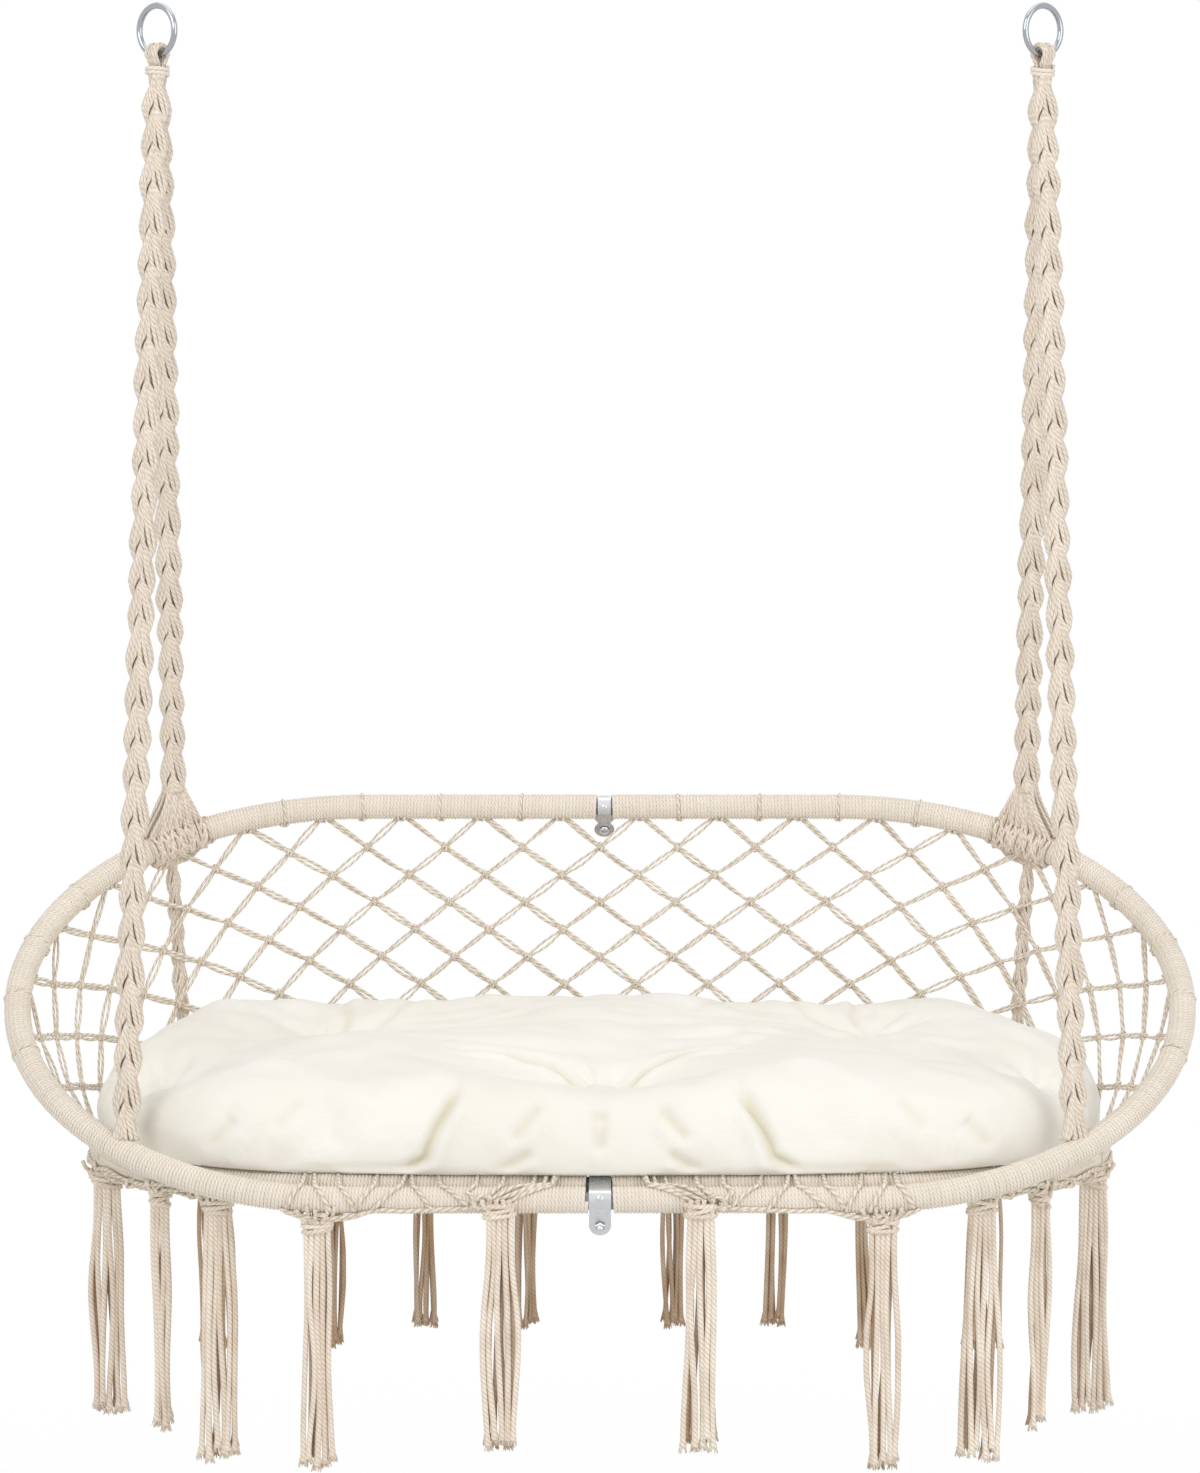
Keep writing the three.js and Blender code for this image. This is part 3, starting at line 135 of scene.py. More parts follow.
class NodeKit:
    """One node tree that takes new nodes."""

    def __init__(self, tree: bpy.types.NodeTree) -> None:
        """Takes the tree that the nodes go into."""
        self.tree = tree

    def add(self, kind: str, links: dict | None = None, **settings: object) -> dict[str, Socket]:
        """Adds one shader node with its settings and input links.

        Args:
            kind: Blender's node type, without its first two words.
            links: Input name or index to an output socket or a plain value.
            **settings: Attributes of the node.

        Returns:
            The node's outputs, by name or index.
        """
        made = self.tree.nodes.new("ShaderNode" + kind)
        for key, value in settings.items():
            setattr(made, key, value)
        self.feed(made, links or {})
        return made.outputs

    def feed(self, node: bpy.types.Node, links: dict) -> None:
        """Links sockets to a node's inputs, and sets its constants on them.

        Args:
            node: The node.
            links: Input name or index to an output socket or a plain value.
        """
        for key, value in links.items():
            if isinstance(value, Socket):
                self.tree.links.new(value, node.inputs[key])
            else:
                node.inputs[key].default_value = value


def new_material(name: str) -> tuple[bpy.types.Material, NodeKit, bpy.types.Node]:
    """Makes an empty node material.

    Args:
        name: The finish's name.

    Returns:
        The material, its tree's kit and its Principled shader.
    """
    material = bpy.data.materials.new(name)
    material.use_nodes = True
    kit = NodeKit(material.node_tree)
    return material, kit, kit.tree.nodes["Principled BSDF"]


@dataclass(frozen=True)
class CordFinish:
    """Undyed twisted cotton cord: matt, slightly fuzzy, with painted shade in its ply grooves."""

    name: str
    light: str
    dark: str
    groove_shade: str
    ply_pitch_mm: float
    plies: int
    bump: float

    def build(self) -> bpy.types.Material:
        """Makes the material.

        Returns:
            A cord material that reads the piece's own UV map and its tint attribute.
        """
        material, kit, shader = new_material(self.name)
        uv = kit.add("UVMap", uv_map="cord")["UV"]
        split = kit.add("SeparateXYZ", {0: uv})
        links = {0: split["Y"], 1: 1000 / self.ply_pitch_mm}
        along = kit.add("Math", links, operation="MULTIPLY")[0]
        links = {0: split["X"], 1: float(self.plies)}
        around = kit.add("Math", links, operation="MULTIPLY")[0]
        phase = kit.add("Math", {0: along, 1: around}, operation="ADD")[0]
        turn = kit.add("Math", {0: phase, 1: 2 * math.pi}, operation="MULTIPLY")[0]
        wave = kit.add("Math", {0: turn}, operation="SINE")[0]
        ridge = kit.add("MapRange", {"Value": wave, "From Min": -1.0, "From Max": 0.4})[0]
        place = kit.add("TexCoord")["Object"]
        links = {"Vector": place, "Scale": 900.0, "Detail": 4.0, "Roughness": 0.7}
        fuzz = kit.add("TexNoise", links)["Fac"]
        cloud = kit.add("TexNoise", {"Vector": place, "Scale": 24.0, "Detail": 3.0})["Fac"]
        tint = kit.add("Attribute", attribute_name="tint")["Fac"]
        mixed = kit.add("Math", {0: tint, 1: cloud}, operation="ADD")[0]
        tone = kit.add("MapRange", {"Value": mixed, "From Min": 0.35, "From Max": 1.55})[0]
        links = {0: tone, 6: linear(self.dark), 7: linear(self.light)}
        base = kit.add("Mix", links, data_type="RGBA")[2]
        # Painted shade: the groove colour darkens the cord where the ply ridge is low.
        links = {0: 1.0, 6: base, 7: linear(self.groove_shade)}
        shade = kit.add("Mix", links, data_type="RGBA", blend_type="MULTIPLY")[2]
        height = kit.add("Math", {0: ridge, 1: fuzz}, operation="ADD")[0]
        links = {"Strength": self.bump, "Distance": 0.6 * MM, "Height": height}
        looks = {
            "Base Color": kit.add("Mix", {0: ridge, 6: shade, 7: base}, data_type="RGBA")[2],
            "Normal": kit.add("Bump", links)[0],
            "Roughness": 0.92,
            "Sheen Weight": 0.15,
            "Sheen Roughness": 0.6,
        }
        kit.feed(shader, looks)
        return material


@dataclass(frozen=True)
class CanvasFinish:
    """Washed cotton canvas: matt, plain weave, soft shading in the tufts and painted shade along
    its creases.
    """

    name: str
    light: str
    dark: str
    crease_shade: str
    thread_mm: float = 2.4

    def build(self) -> bpy.types.Material:
        """Makes the material.

        Returns:
            A woven material on Object coordinates; the crease attribute adds painted shade.
        """
        material, kit, shader = new_material(self.name)
        place = kit.add("TexCoord")["Object"]
        wave = {
            "Vector": place,
            "Scale": 2 * math.pi * 1000 / (self.thread_mm * 20),
            "Distortion": 0.8,
            "Detail": 1.0,
            "Detail Scale": 2.0,
        }
        across, along = (kit.add("TexWave", wave, bands_direction=way)["Fac"] for way in "XY")
        weave = kit.add("Math", {0: across, 1: along}, operation="MAXIMUM")[0]
        links = {"Vector": place, "Scale": 7.0, "Detail": 4.0, "Roughness": 0.55}
        slub = kit.add("TexNoise", links)["Fac"]
        fine = kit.add("TexNoise", {"Vector": place, "Scale": 600.0, "Detail": 3.0})["Fac"]
        faint = kit.add("Math", {0: weave, 1: 0.12}, operation="MULTIPLY")[0]
        blend = kit.add("Math", {0: slub, 1: faint}, operation="ADD")[0]
        tone = kit.add("MapRange", {"Value": blend, "From Min": 0.3, "From Max": 0.9})[0]
        links = {0: tone, 6: linear(self.dark), 7: linear(self.light)}
        base = kit.add("Mix", links, data_type="RGBA")[2]
        # Painted shade: the crease colour is mixed in where the crease attribute is high.
        crease = kit.add("Attribute", attribute_name="crease")["Fac"]
        links = {0: crease, 6: base, 7: linear(self.crease_shade)}
        wear_and_crease_shade = kit.add("Mix", links, data_type="RGBA")[2]
        height = kit.add("Math", {0: weave, 1: fine}, operation="ADD")[0]
        links = {"Strength": 0.12, "Distance": 0.3 * MM, "Height": height}
        looks = {
            "Base Color": wear_and_crease_shade,
            "Normal": kit.add("Bump", links)[0],
            "Roughness": 0.9,
            "Sheen Weight": 0.2,
            "Sheen Roughness": 0.5,
        }
        kit.feed(shader, looks)
        return material


@dataclass(frozen=True)
class MetalFinish:
    """Plated or bare steel with fine handling marks."""

    name: str
    colour: str
    wear_and_crease_shade: str
    roughness: float
    mark_mm: float = 3.0
    bump: float = 0.04

    def build(self) -> bpy.types.Material:
        """Makes the material.

        Returns:
            A metal with uneven roughness and a faint surface grain.
        """
        material, kit, shader = new_material(self.name)
        place = kit.add("TexCoord")["Object"]
        links = {"Vector": place, "Scale": 1000 / self.mark_mm, "Detail": 5.0}
        marks = kit.add("TexNoise", links)["Fac"]
        links = {0: marks, 6: linear(self.colour), 7: linear(self.wear_and_crease_shade)}
        base = kit.add("Mix", links, data_type="RGBA")[2]
        low, high = (self.roughness * share for share in (0.7, 1.4))
        rough = kit.add("MapRange", {"Value": marks, "To Min": low, "To Max": high})[0]
        links = {"Strength": self.bump, "Distance": 0.1 * MM, "Height": marks}
        looks = {
            "Base Color": base,
            "Roughness": rough,
            "Normal": kit.add("Bump", links)[0],
            "Metallic": 1.0,
        }
        kit.feed(shader, looks)
        return material


FINISHES = {
    # Polished steel wire: a smooth mirror that gives the eye two hard bright lines on the rings.
    Slot.RING: MetalFinish("polished_steel_wire", "B4B7BB", "9DA0A5", 0.12),
    # Zinc-plated steel: a pale, slightly cloudy grey with soft highlights on the brackets.
    Slot.BRACKET: MetalFinish("zinc_plated_steel", "D9DADC", "C2C4C7", 0.28),
    # Bare steel tube: a dull mid grey, seen only where the wrapping ends.
    Slot.TUBE: MetalFinish("bare_steel_tube", "94969A", "797C80", 0.45),
    # Fine cotton cord wound turn against turn: pale and even, read as close ribs on the hoops.
    Slot.WRAP: CordFinish("wrapped_cotton_cord", "F6EEE4", "EAE1D4", "F1ECE4", 5.0, 3, 0.05),
    # Two-ply knotted cotton cord: its open twist shows as small light diagonals, with painted shade
    # in the grooves.
    Slot.NET: CordFinish("knotted_cotton_cord", "F6EEE2", "E4D9C8", "D9CFC1", 9.0, 2, 0.14),
    # Soft plaited cotton cord: a quiet warm beige with faint plies; dark places between lobes are
    # shade, partly painted on the darkest core.
    Slot.ROPE: CordFinish("plaited_cotton_cord", "F5ECE1", "E2D6C7", "E6DDD2", 6.5, 3, 0.1),
    # Loose fringe cord: light in front, brown in its own shade behind, brushed out at the ends.
    Slot.TASSEL: CordFinish("fringe_cotton_cord", "FAF2E6", "BE9D7C", "EBE2D6", 5.0, 3, 0.07),
    # Washed cotton canvas: matt ivory with a fine plain weave that only shows close up, and painted
    # shade in its creases.
    Slot.CUSHION: CanvasFinish("cotton_canvas", "F8F6F0", "EEEADF", "DDD5B6"),
}
MATERIALS: dict[Slot, bpy.types.Material] = {}


class CordMesh:
    """Collects swept cords and makes them one mesh with a cord UV map and a tint."""

    def __init__(self) -> None:
        """Starts an empty collection."""
        self.points: list[Array] = []
        self.quads: list[Array] = []
        self.caps: list[list[int]] = []
        self.quad_uvs: list[Array] = []
        self.cap_sides: list[int] = []
        self.tints: list[Array] = []
        self.count = 0

    def add(
        self,
        path: Array,
        radius: float | Array,
        side: Array = (0.0, 1.0, 0.0),
        sides: int = 6,
        flat: float = 1.0,
        tint: float | Array = 0.5,
    ) -> None:
        """Sweeps one cord along a path.

        Args:
            path: Points of the centre line, in metres.
            radius: One radius, or one for each point.
            side: A direction, or one for each point, that the first facet faces.
            sides: Facets round the cord.
            flat: Thickness across the side direction, as a share of the width.
            tint: Lightness from 0 to 1 that the material reads, one or one a point.
        """
        path = np.asarray(path, float)
        count = len(path)
        tangent = unit(np.gradient(path, axis=0))
        reference = np.broadcast_to(np.asarray(side, float), path.shape)
        across = unit(reference - (reference * tangent).sum(1, keepdims=True) * tangent)
        other = np.cross(tangent, across)
        angle = 2 * np.pi * np.arange(sides) / sides
        size = np.broadcast_to(np.asarray(radius, float), (count,))[:, None, None]
        ring = across[:, None, :] * np.cos(angle)[None, :, None] * flat
        ring = ring + other[:, None, :] * np.sin(angle)[None, :, None]
        self.points.append((path[:, None, :] + ring * size).reshape(-1, 3))
        row = np.arange(count - 1)[:, None] * sides
        i = np.arange(sides)[None, :]
        j = (i + 1) % sides
        corners = np.stack([row + i, row + j, row + sides + j, row + sides + i], -1)
        self.quads.append(corners.reshape(-1, 4) + self.count)
        length = np.concatenate([[0], np.cumsum(np.linalg.norm(np.diff(path, axis=0), axis=1))])
        low = np.broadcast_to(length[:-1, None], (count - 1, sides))
        high = np.broadcast_to(length[1:, None], (count - 1, sides))
        left = np.broadcast_to(i / sides, (count - 1, sides))
        right = left + 1 / sides
        uvs = np.stack([left, low, right, low, right, high, left, high], -1)
        self.quad_uvs.append(uvs.reshape(-1, 2))
        first = list(range(self.count + sides - 1, self.count - 1, -1))
        last = list(range(self.count + (count - 1) * sides, self.count + count * sides))
        self.caps += [first, last]
        self.tints.append(np.repeat(np.broadcast_to(np.asarray(tint, float), (count,)), sides))
        self.count += count * sides

    def build(self, name: str, slot: Slot, *nodes: str) -> None:
        """Makes the mesh object, dresses it and lets it ride on the seat.

        Args:
            name: The piece's name.
            slot: Its material slot.
            *nodes: The CAD nodes that it replaces.
        """
        mesh = bpy.data.meshes.new(name)
        faces = np.concatenate(self.quads).tolist() + self.caps
        mesh.from_pydata(np.concatenate(self.points).tolist(), [], faces)
        uvs = np.concatenate([*self.quad_uvs, np.zeros((sum(map(len, self.caps)), 2))])
        layer = mesh.uv_layers.new(name="cord")
        layer.data.foreach_set("uv", uvs.astype(np.float32).ravel())
        tint = mesh.attributes.new("tint", "FLOAT", "POINT")
        tint.data.foreach_set("value", np.concatenate(self.tints).astype(np.float32))
        mesh.polygons.foreach_set("use_smooth", np.ones(len(faces), bool))
        mesh.update()
        dress(add_piece(name, mesh), slot, Body.SEAT, *nodes)


def choose(*pieces: Piece) -> None:
    """Selects some pieces alone, the first one active; with none, deselects everything.

    Args:
        *pieces: The pieces.
    """
    bpy.ops.object.select_all(action="DESELECT")
    for piece in pieces:
        piece.select_set(True)
    if pieces:
        bpy.context.view_layer.objects.active = pieces[0]


def add_piece(name: str, mesh: bpy.types.Mesh) -> Piece:
    """Puts a mesh in the scene as a new piece.

    Args:
        name: The piece's name.
        mesh: Its mesh.

    Returns:
        The piece.
    """
    piece = bpy.data.objects.new(name, mesh)
    bpy.context.scene.collection.objects.link(piece)
    return piece


def finish_with(piece: Piece, kind: str, **settings: object) -> None:
    """Adds one modifier to a piece and applies it.

    Args:
        piece: The piece.
        kind: Blender's modifier type.
        **settings: Attributes of the modifier.
    """
    choose(piece)
    modifier = piece.modifiers.new(kind.lower(), kind)
    for key, value in settings.items():
        setattr(modifier, key, value)
    bpy.ops.object.modifier_apply(modifier=modifier.name)


def paint(piece: Piece, slot: Slot) -> None:
    """Gives a piece one finish in place of any other."""
    piece.data.materials.clear()
    piece.data.materials.append(MATERIALS[slot])


def dress(piece: Piece, slot: Slot, body: Body, *nodes: str) -> None:
    """Gives a piece its finish, its body and the CAD nodes that it stands for.

    Args:
        piece: The new piece.
        slot: Its material slot.
        body: The body that it rides on.
        *nodes: The CAD nodes that it replaces.
    """
    paint(piece, slot)
    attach(piece, body.value)
    if nodes:
        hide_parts(*nodes)
    LOG.info("%s: %d faces", piece.name, len(piece.data.polygons))


class HoopLine:
    """Smooth centre line of one hoop, walked by distance from the middle of its back."""

    def __init__(self, reach: float, depth: float, tilt: float, centre: tuple) -> None:
        """Lays out the line.

        Args:
            reach: How far the elliptical end reaches past the straight runs, in mm.
            depth: Half depth, in mm.
            tilt: Degrees that the back rises.
            centre: Centre in seat coordinates, in mm.
        """
        straight = STRAIGHT_MM
        self.depth = depth * MM
        self.end = (straight + reach) * MM
        self.turn = np.array(Matrix.Rotation(math.radians(tilt), 3, "X"))
        self.centre = np.array(centre) * MM + SEAT_ORIGIN
        angle = np.radians(np.linspace(90, -90, 181))
        inset = 1 - 0.0036 * np.cos(angle)
        u = straight + reach * np.cos(angle) * inset
        v = depth * np.sin(angle) * inset
        run = np.linspace(0, straight, 40)[:-1]
        u = np.concatenate([run, u, np.linspace(straight, 0, 40)[1:]])
        v = np.concatenate([np.full(39, depth), v, np.full(39, -depth)])
        self.flat = np.stack([u, v], 1) * MM
        steps = np.linalg.norm(np.diff(self.flat, axis=0), axis=1)
        self.length = np.concatenate([[0], np.cumsum(steps)])
        self.half = float(self.length[-1])

    def place(self, u: Array, v: Array, n: Array | float = 0.0) -> Array:
        """Turns hoop coordinates into the frame's.

        Args:
            u: Places along the seat, in metres.
            v: Places from front to back.
            n: Places out of the hoop's plane.

        Returns:
            The points.
        """
        flat = np.stack(np.broadcast_arrays(u, v, n), -1)
        return flat @ self.turn.T + self.centre

    def at(self, distance: Array | float) -> Array:
        """Finds points of the centre line.

        Args:
            distance: Signed distances from the middle of the back, in metres.

        Returns:
            The points.
        """
        side = np.where(np.asarray(distance) < 0, -1.0, 1.0)
        far = np.abs(distance)
        u = side * np.interp(far, self.length, self.flat[:, 0])
        v = np.interp(far, self.length, self.flat[:, 1])
        return self.place(u, v)

    def along(self, distance: Array | float) -> Array:
        """Unit tangents towards growing distance."""
        step = 0.5 * MM
        return unit(self.at(np.asarray(distance) + step) - self.at(np.asarray(distance) - step))

    @property
    def normal(self) -> Array:
        """Normal of the hoop's plane, upwards."""
        return self.turn[:, 2]

    def distance_at(self, reach: float, back: bool) -> float:
        """Distance of the place at a reach along the seat.

        Args:
            reach: Signed place along the seat, in metres.
            back: Whether it is on the back run.

        Returns:
            Signed distance from the middle of the back.
        """
        middle = int(np.argmax(self.flat[:, 0]))
        u, s = self.flat[:, 0], self.length
        if back:
            far = np.interp(abs(reach), u[: middle + 1], s[: middle + 1])
        else:
            far = np.interp(-abs(reach), -u[middle:], s[middle:])
        return float(math.copysign(far, reach))


SEAT_HOOP = HoopLine(262.5, 230, 0, (0, 0, 0))
BACK_HOOP = HoopLine(350, 306, 33, (0, -1.34, 158.64))


@dataclass
class HoopWrapping:
    """Close turns of cord round both hoops; NetWork adds the lashings that hold the net's edges."""

    cord: float = 1.95 * MM
    pitch: float = 3.7 * MM
    steps: int = 14
    back_offset: float = 4.7 * MM
    back_gap: float = 7.3 * MM
    front_gap: float = 11.3 * MM

    def build(self) -> None:
        """Makes the wrapping of each half hoop."""
        for hoop, name in ((BACK_HOOP, "back_hoop"), (SEAT_HOOP, "seat_hoop")):
            for side, label in SIDES:
                start = self.back_gap + side * self.back_offset
                turns = self.wrap(hoop, side, start, hoop.half - self.front_gap)
                turns.build(f"{name}_cord_turns_{label}", Slot.WRAP, f"{name}_wrap_{label}")

    def wrap(self, hoop: HoopLine, side: int, start: float, end: float) -> CordMesh:
        """Winds one unbroken cord along half a hoop.

        Args:
            hoop: The hoop's line.
            side: -1 for the left half, 1 for the right.
            start: Distance from the back's middle where the turns start, in metres.
            end: Distance where they end.

        Returns:
            The turns as a cord mesh.
        """
        turns = (end - start) / self.pitch
        t = np.linspace(0, 1, int(turns * self.steps))
        distance = side * (start + self.cord + t * (end - start - 2 * self.cord))
        radial = self.radial(hoop, distance, t * turns * 2 * np.pi)
        wobble = 0.12 * MM * np.sin(t * turns * 1.7)
        path = hoop.at(distance) + radial * (WRAP_RADIUS - self.cord + wobble)[:, None]
        rng = np.random.default_rng(SEED + side)
        tones = rng.uniform(0.4, 0.9, int(turns) + 2)
        mesh = CordMesh()
        mesh.add(path, self.cord, radial, sides=5, tint=tones[(t * turns).astype(int)])
        return mesh

    @staticmethod
    def radial(hoop: HoopLine, distance: Array, angle: Array) -> Array:
        """Finds directions out of the hoop's tube.

        Args:
            hoop: The hoop's line.
            distance: Places along it, in metres.
            angle: Turns round the tube: 0 points outwards in the hoop's plane, a quarter turn up.

        Returns:
            Unit directions.
        """
        along = hoop.along(distance)
        outward = unit(np.cross(hoop.normal, along))
        turn = np.asarray(angle)[:, None]
        return outward * np.cos(turn) + hoop.normal * np.sin(turn)


@dataclass(frozen=True)
class Plait:
    """Tight plait of stacked lobes.

    Two sets of cords take turns: a set comes out in the middle of a lobe, runs down over the
    neck, parts to both sides of the next lobe and goes in under the other set at its end.
    """

    half_width: float = 12.4 * MM
    half_depth: float = 5.6 * MM
    lobe: float = 40.5 * MM
    radius: float = 2.05 * MM
    front_cords: int = 3
    steps: int = 14

    def lay(
        self, start: Array, end: Array, wide: Array, taper: float, seed: int
    ) -> CordMesh:
        """Plaits from one point to another.

        Args:
            start: Middle of the upper end.
            end: Middle of the lower end.
            wide: Direction of the plait's width.
            taper: Length at the upper end over which the plait opens.
            seed: Seed of this plait's small unevenness.

        Returns:
            The plait's cords.
        """
        mesh = CordMesh()
        rng = random.Random(seed)
        run = end - start
        length = float(np.linalg.norm(run))
        along = run / length
        across = unit(wide - along * float(wide @ along))
        through = unit(np.cross(along, across))
        s = np.linspace(0, length, int(length / self.lobe * self.steps) + 2)
        beats = np.linspace(0, length, int(length / self.lobe) + 1)
        slip = np.interp(s, beats, [rng.uniform(-0.05, 0.05) for _ in beats])
        size = np.interp(s, beats, [rng.uniform(0.95, 1.06) for _ in beats])
        size = size * (0.62 + 0.38 * smooth(s / taper))
        middle = start + np.outer(s, along)
        # The core gets the lowest tint: painted shade where it shows between the lobes.
        mesh.add(middle, self.half_width * 0.5, through, 10, self.half_depth / self.half_width, 0.0)
        for half in (0.0, 0.5):
            for side in (-1.0, 1.0):
                for place in range(-self.front_cords, self.front_cords + 1):
                    phase = (s / (2 * self.lobe) + half + slip + 0.012 * place * side) % 1.0
                    lead = side if half else -side
                    x, y, fat = self.cross_section(phase, place, side, lead)
                    wander = 0.1 * self.radius * np.sin(s * rng.uniform(60, 160) + place)
                    x = x * size + wander
                    y = y * size + wander
                    path = start + np.outer(s, along) + np.outer(x, across) + np.outer(y, through)
                    outward = np.outer(x, across) + np.outer(y * 3, through) + across * 1e-6
                    tint = rng.uniform(0.25, 0.9)
                    mesh.add(path, self.radius * fat, unit(outward), sides=5, tint=tint)
        return mesh

    def cross_section(
        self, phase: Array, place: int, side: float, lead: float
    ) -> tuple[Array, Array, Array]:
        """Where one cord lies across the plait.

        Args:
            phase: Place in the cord's cycle: it comes out in the middle at 0, bulges at its
                side at 0.5 and is inside the plait from 0.75.
            place: Cord of its set: 0 at the side, positive in front, negative behind.
            side: -1 for the left, 1 for the right.
            lead: 1 where the cord's set lies over the other side's, -1 where under.

        Returns:
            Offsets across and through the plait, and the share of full thickness.
        """
        share = abs(place) / self.front_cords
        stops = (0.0, 0.1, 0.25, 0.38, 0.5, 0.62, 0.74, 0.87, 1.0)
        outer = np.interp(phase, stops, (84, 62, 30, 9, 0, -6, -6, 40, 84))
        inner = np.interp(phase, stops, (93, 91, 88, 84, 77, 42, 16, 60, 93)) + 7 * side * share
        out = np.interp(phase, stops, (0.72, 0.95, 1.0, 1.0, 1.0, 0.95, 0.66, 0.4, 0.72))
        wide = np.interp(phase, stops, (0.9, 0.76, 0.72, 0.88, 1.0, 0.88, 0.74, 0.7, 0.9))
        angle = np.radians(outer + (inner - outer) * share)
        depth = math.copysign(1.0, place) if place else 0.3
        x = side * self.half_width * np.cos(angle) * wide * out
        y = -depth * self.half_depth * np.sin(angle) * (1.3 * out - 0.3)
        y = y - depth * lead * 0.2 * self.radius * out
        return x, y, 0.8 + 0.3 * out


@dataclass
class Suspension:
    """Hang rings, rope eyes, their bindings, the four plaits, the fans and the lower braids."""

    half_spacing: float = 454.6 * MM
    ring_turn: float = 40.0
    ring_radius: float = 25.25 * MM
    wire_radius: float = 3.25 * MM
    eye_flare: float = 0.5
    eye_cord: float = 1.95 * MM
    eye_spacing: float = 3.3 * MM
    binding_radius: float = 11 * MM
    binding_pitch: float = 4.1 * MM
    neck_length: float = 22 * MM
    apart: float = 7.8 * MM
    front_reach: float = 0.785
    back_reach: float = 0.758
    braid_reach: float = 0.845
    fan_height: float = 66 * MM
    fan_half_width: float = 31 * MM
    fan_cords: int = 14
    fan_cord: float = 2.1 * MM
    fan_top: float = 8.5 * MM
    # Rows of hitches, angles on the hoop where the cords start and end, and their depth in the
    # plait, in mm, of the front layer, the back one and the one between them.
    fan_layers: tuple = ((1, 11, 55, -118, 1), (-1, 7, 125, 218, 8), (0, 0, 90, 80, 4.5))
    braid_stand_off: float = 5 * MM
    rope_taper: float = 42 * MM
    braid_taper: float = 20 * MM
    rope: Plait = Plait()
    braid_plait: Plait = Plait(7.3 * MM, 4.0 * MM, 26.5 * MM, 1.65 * MM, 2)

    def build(self) -> None:
        """Makes both sides."""
        for side, label in SIDES:
            self.ring(side, label)
            self.eye(side, label)
            self.binding(side, label)
            self.ropes(side, label)

    def hook_foot(self, side: int) -> Array:
        """Lowest point of a ring's wire centre line."""
        drop = 2 * self.ring_radius - self.wire_radius
        return np.array([side * self.half_spacing, 0.0, -drop])

    def ring(self, side: int, label: str) -> None:
        """Turns a steel wire ring with the bead of its butt weld.

        Args:
            side: -1 for the left ring, 1 for the right.
            label: Its name.
        """
        choose()
        drop = self.ring_radius - self.wire_radius
        turn = math.radians(side * self.ring_turn)
        bpy.ops.mesh.primitive_torus_add(
            location=(side * self.half_spacing, 0, -drop),
            rotation=(math.pi / 2, 0, turn),
            major_radius=self.ring_radius,
            minor_radius=self.wire_radius,
            major_segments=96,
            minor_segments=20,
        )
        ring = bpy.context.object
        ring.name = f"{label}_welded_ring"
        bpy.ops.object.transform_apply(location=True, rotation=True, scale=True)
        weld = Vector((side * self.half_spacing, 0, -drop + self.ring_radius))
        weld += Vector((math.cos(turn), math.sin(turn), 0)) * 3 * MM
        for vertex in ring.data.vertices:
            off = (vertex.co - weld).length
            swell = math.exp(-((off / (3.6 * MM)) ** 2))
            vertex.co += vertex.normal * 0.35 * MM * swell
        bpy.ops.object.shade_smooth()
        dress(ring, Slot.RING, Body.RINGS, f"{label}_hang_ring")

    def eye(self, side: int, label: str) -> None:
        """Loops the ropes' cords over the ring and gathers them into a neck.

        Args:
            side: -1 for the left ring, 1 for the right.
            label: Its name.
        """
        foot = self.hook_foot(side)
        turn = math.radians(side * self.ring_turn)
        wire = np.array([math.cos(turn), math.sin(turn), 0.0])
        across = np.array([-math.sin(turn), math.cos(turn), 0.0])
        eye = CordMesh()
        rng = random.Random(SEED + side)
        for layer, count in ((0, 5), (1, 4)):
            for k in range(count):
                spot = (k - (count - 1) / 2) * self.eye_spacing
                over = self.wire_radius + (2.3 + 3.0 * layer) * MM + self.eye_flare * abs(spot)
                lift = (self.ring_radius - math.sqrt(self.ring_radius**2 - spot**2)) * 0.8
                arc = np.radians(np.linspace(0, 180, 11))
                head = foot + wire * spot + UP * lift
                loop = head + np.outer(np.cos(arc), across) * over
                loop = loop + np.outer(np.sin(arc), UP) * over
                legs = []
                for way in (1, -1):
                    start = head + across * over * way
                    squeeze = wire * spot * 0.75 + across * way * (2.6 + 3.2 * layer) * MM
                    low = foot + squeeze - UP * self.neck_length * 0.45
                    end = foot + squeeze - UP * (self.neck_length + 6 * MM)
                    t = smooth(np.linspace(0, 1, 7))[1:, None]
                    legs.append(np.concatenate([start * (1 - t) + low * t, end[None]]))
                path = np.concatenate([legs[0][::-1], loop, legs[1]])
                eye.add(path, self.eye_cord, wire, sides=7, tint=0.4 + 0.3 * rng.random())
        eye.build(f"{label}_eye_cords", Slot.ROPE, f"{label}_rope_eye")

    def binding(self, side: int, label: str) -> None:
        """Binds the neck with two slanted turns whose end is tucked in.

        Args:
            side: -1 for the left neck, 1 for the right.
            label: Its name.
        """
        foot = self.hook_foot(side)
        bind = CordMesh()
        t = np.linspace(0, 2.15, 36)
        angle = 2 * np.pi * t
        drop = -11.5 * MM - self.binding_pitch * t + 1.3 * MM * np.sin(angle) * side
        radial = np.stack([np.cos(angle), np.sin(angle), 0 * angle], 1)
        path = foot + radial * self.binding_radius + np.outer(drop, UP)
        bind.add(path, self.fan_cord, radial, sides=8, tint=0.8)
        bind.build(f"{label}_binding_turns", Slot.WRAP, f"{label}_rope_binding")

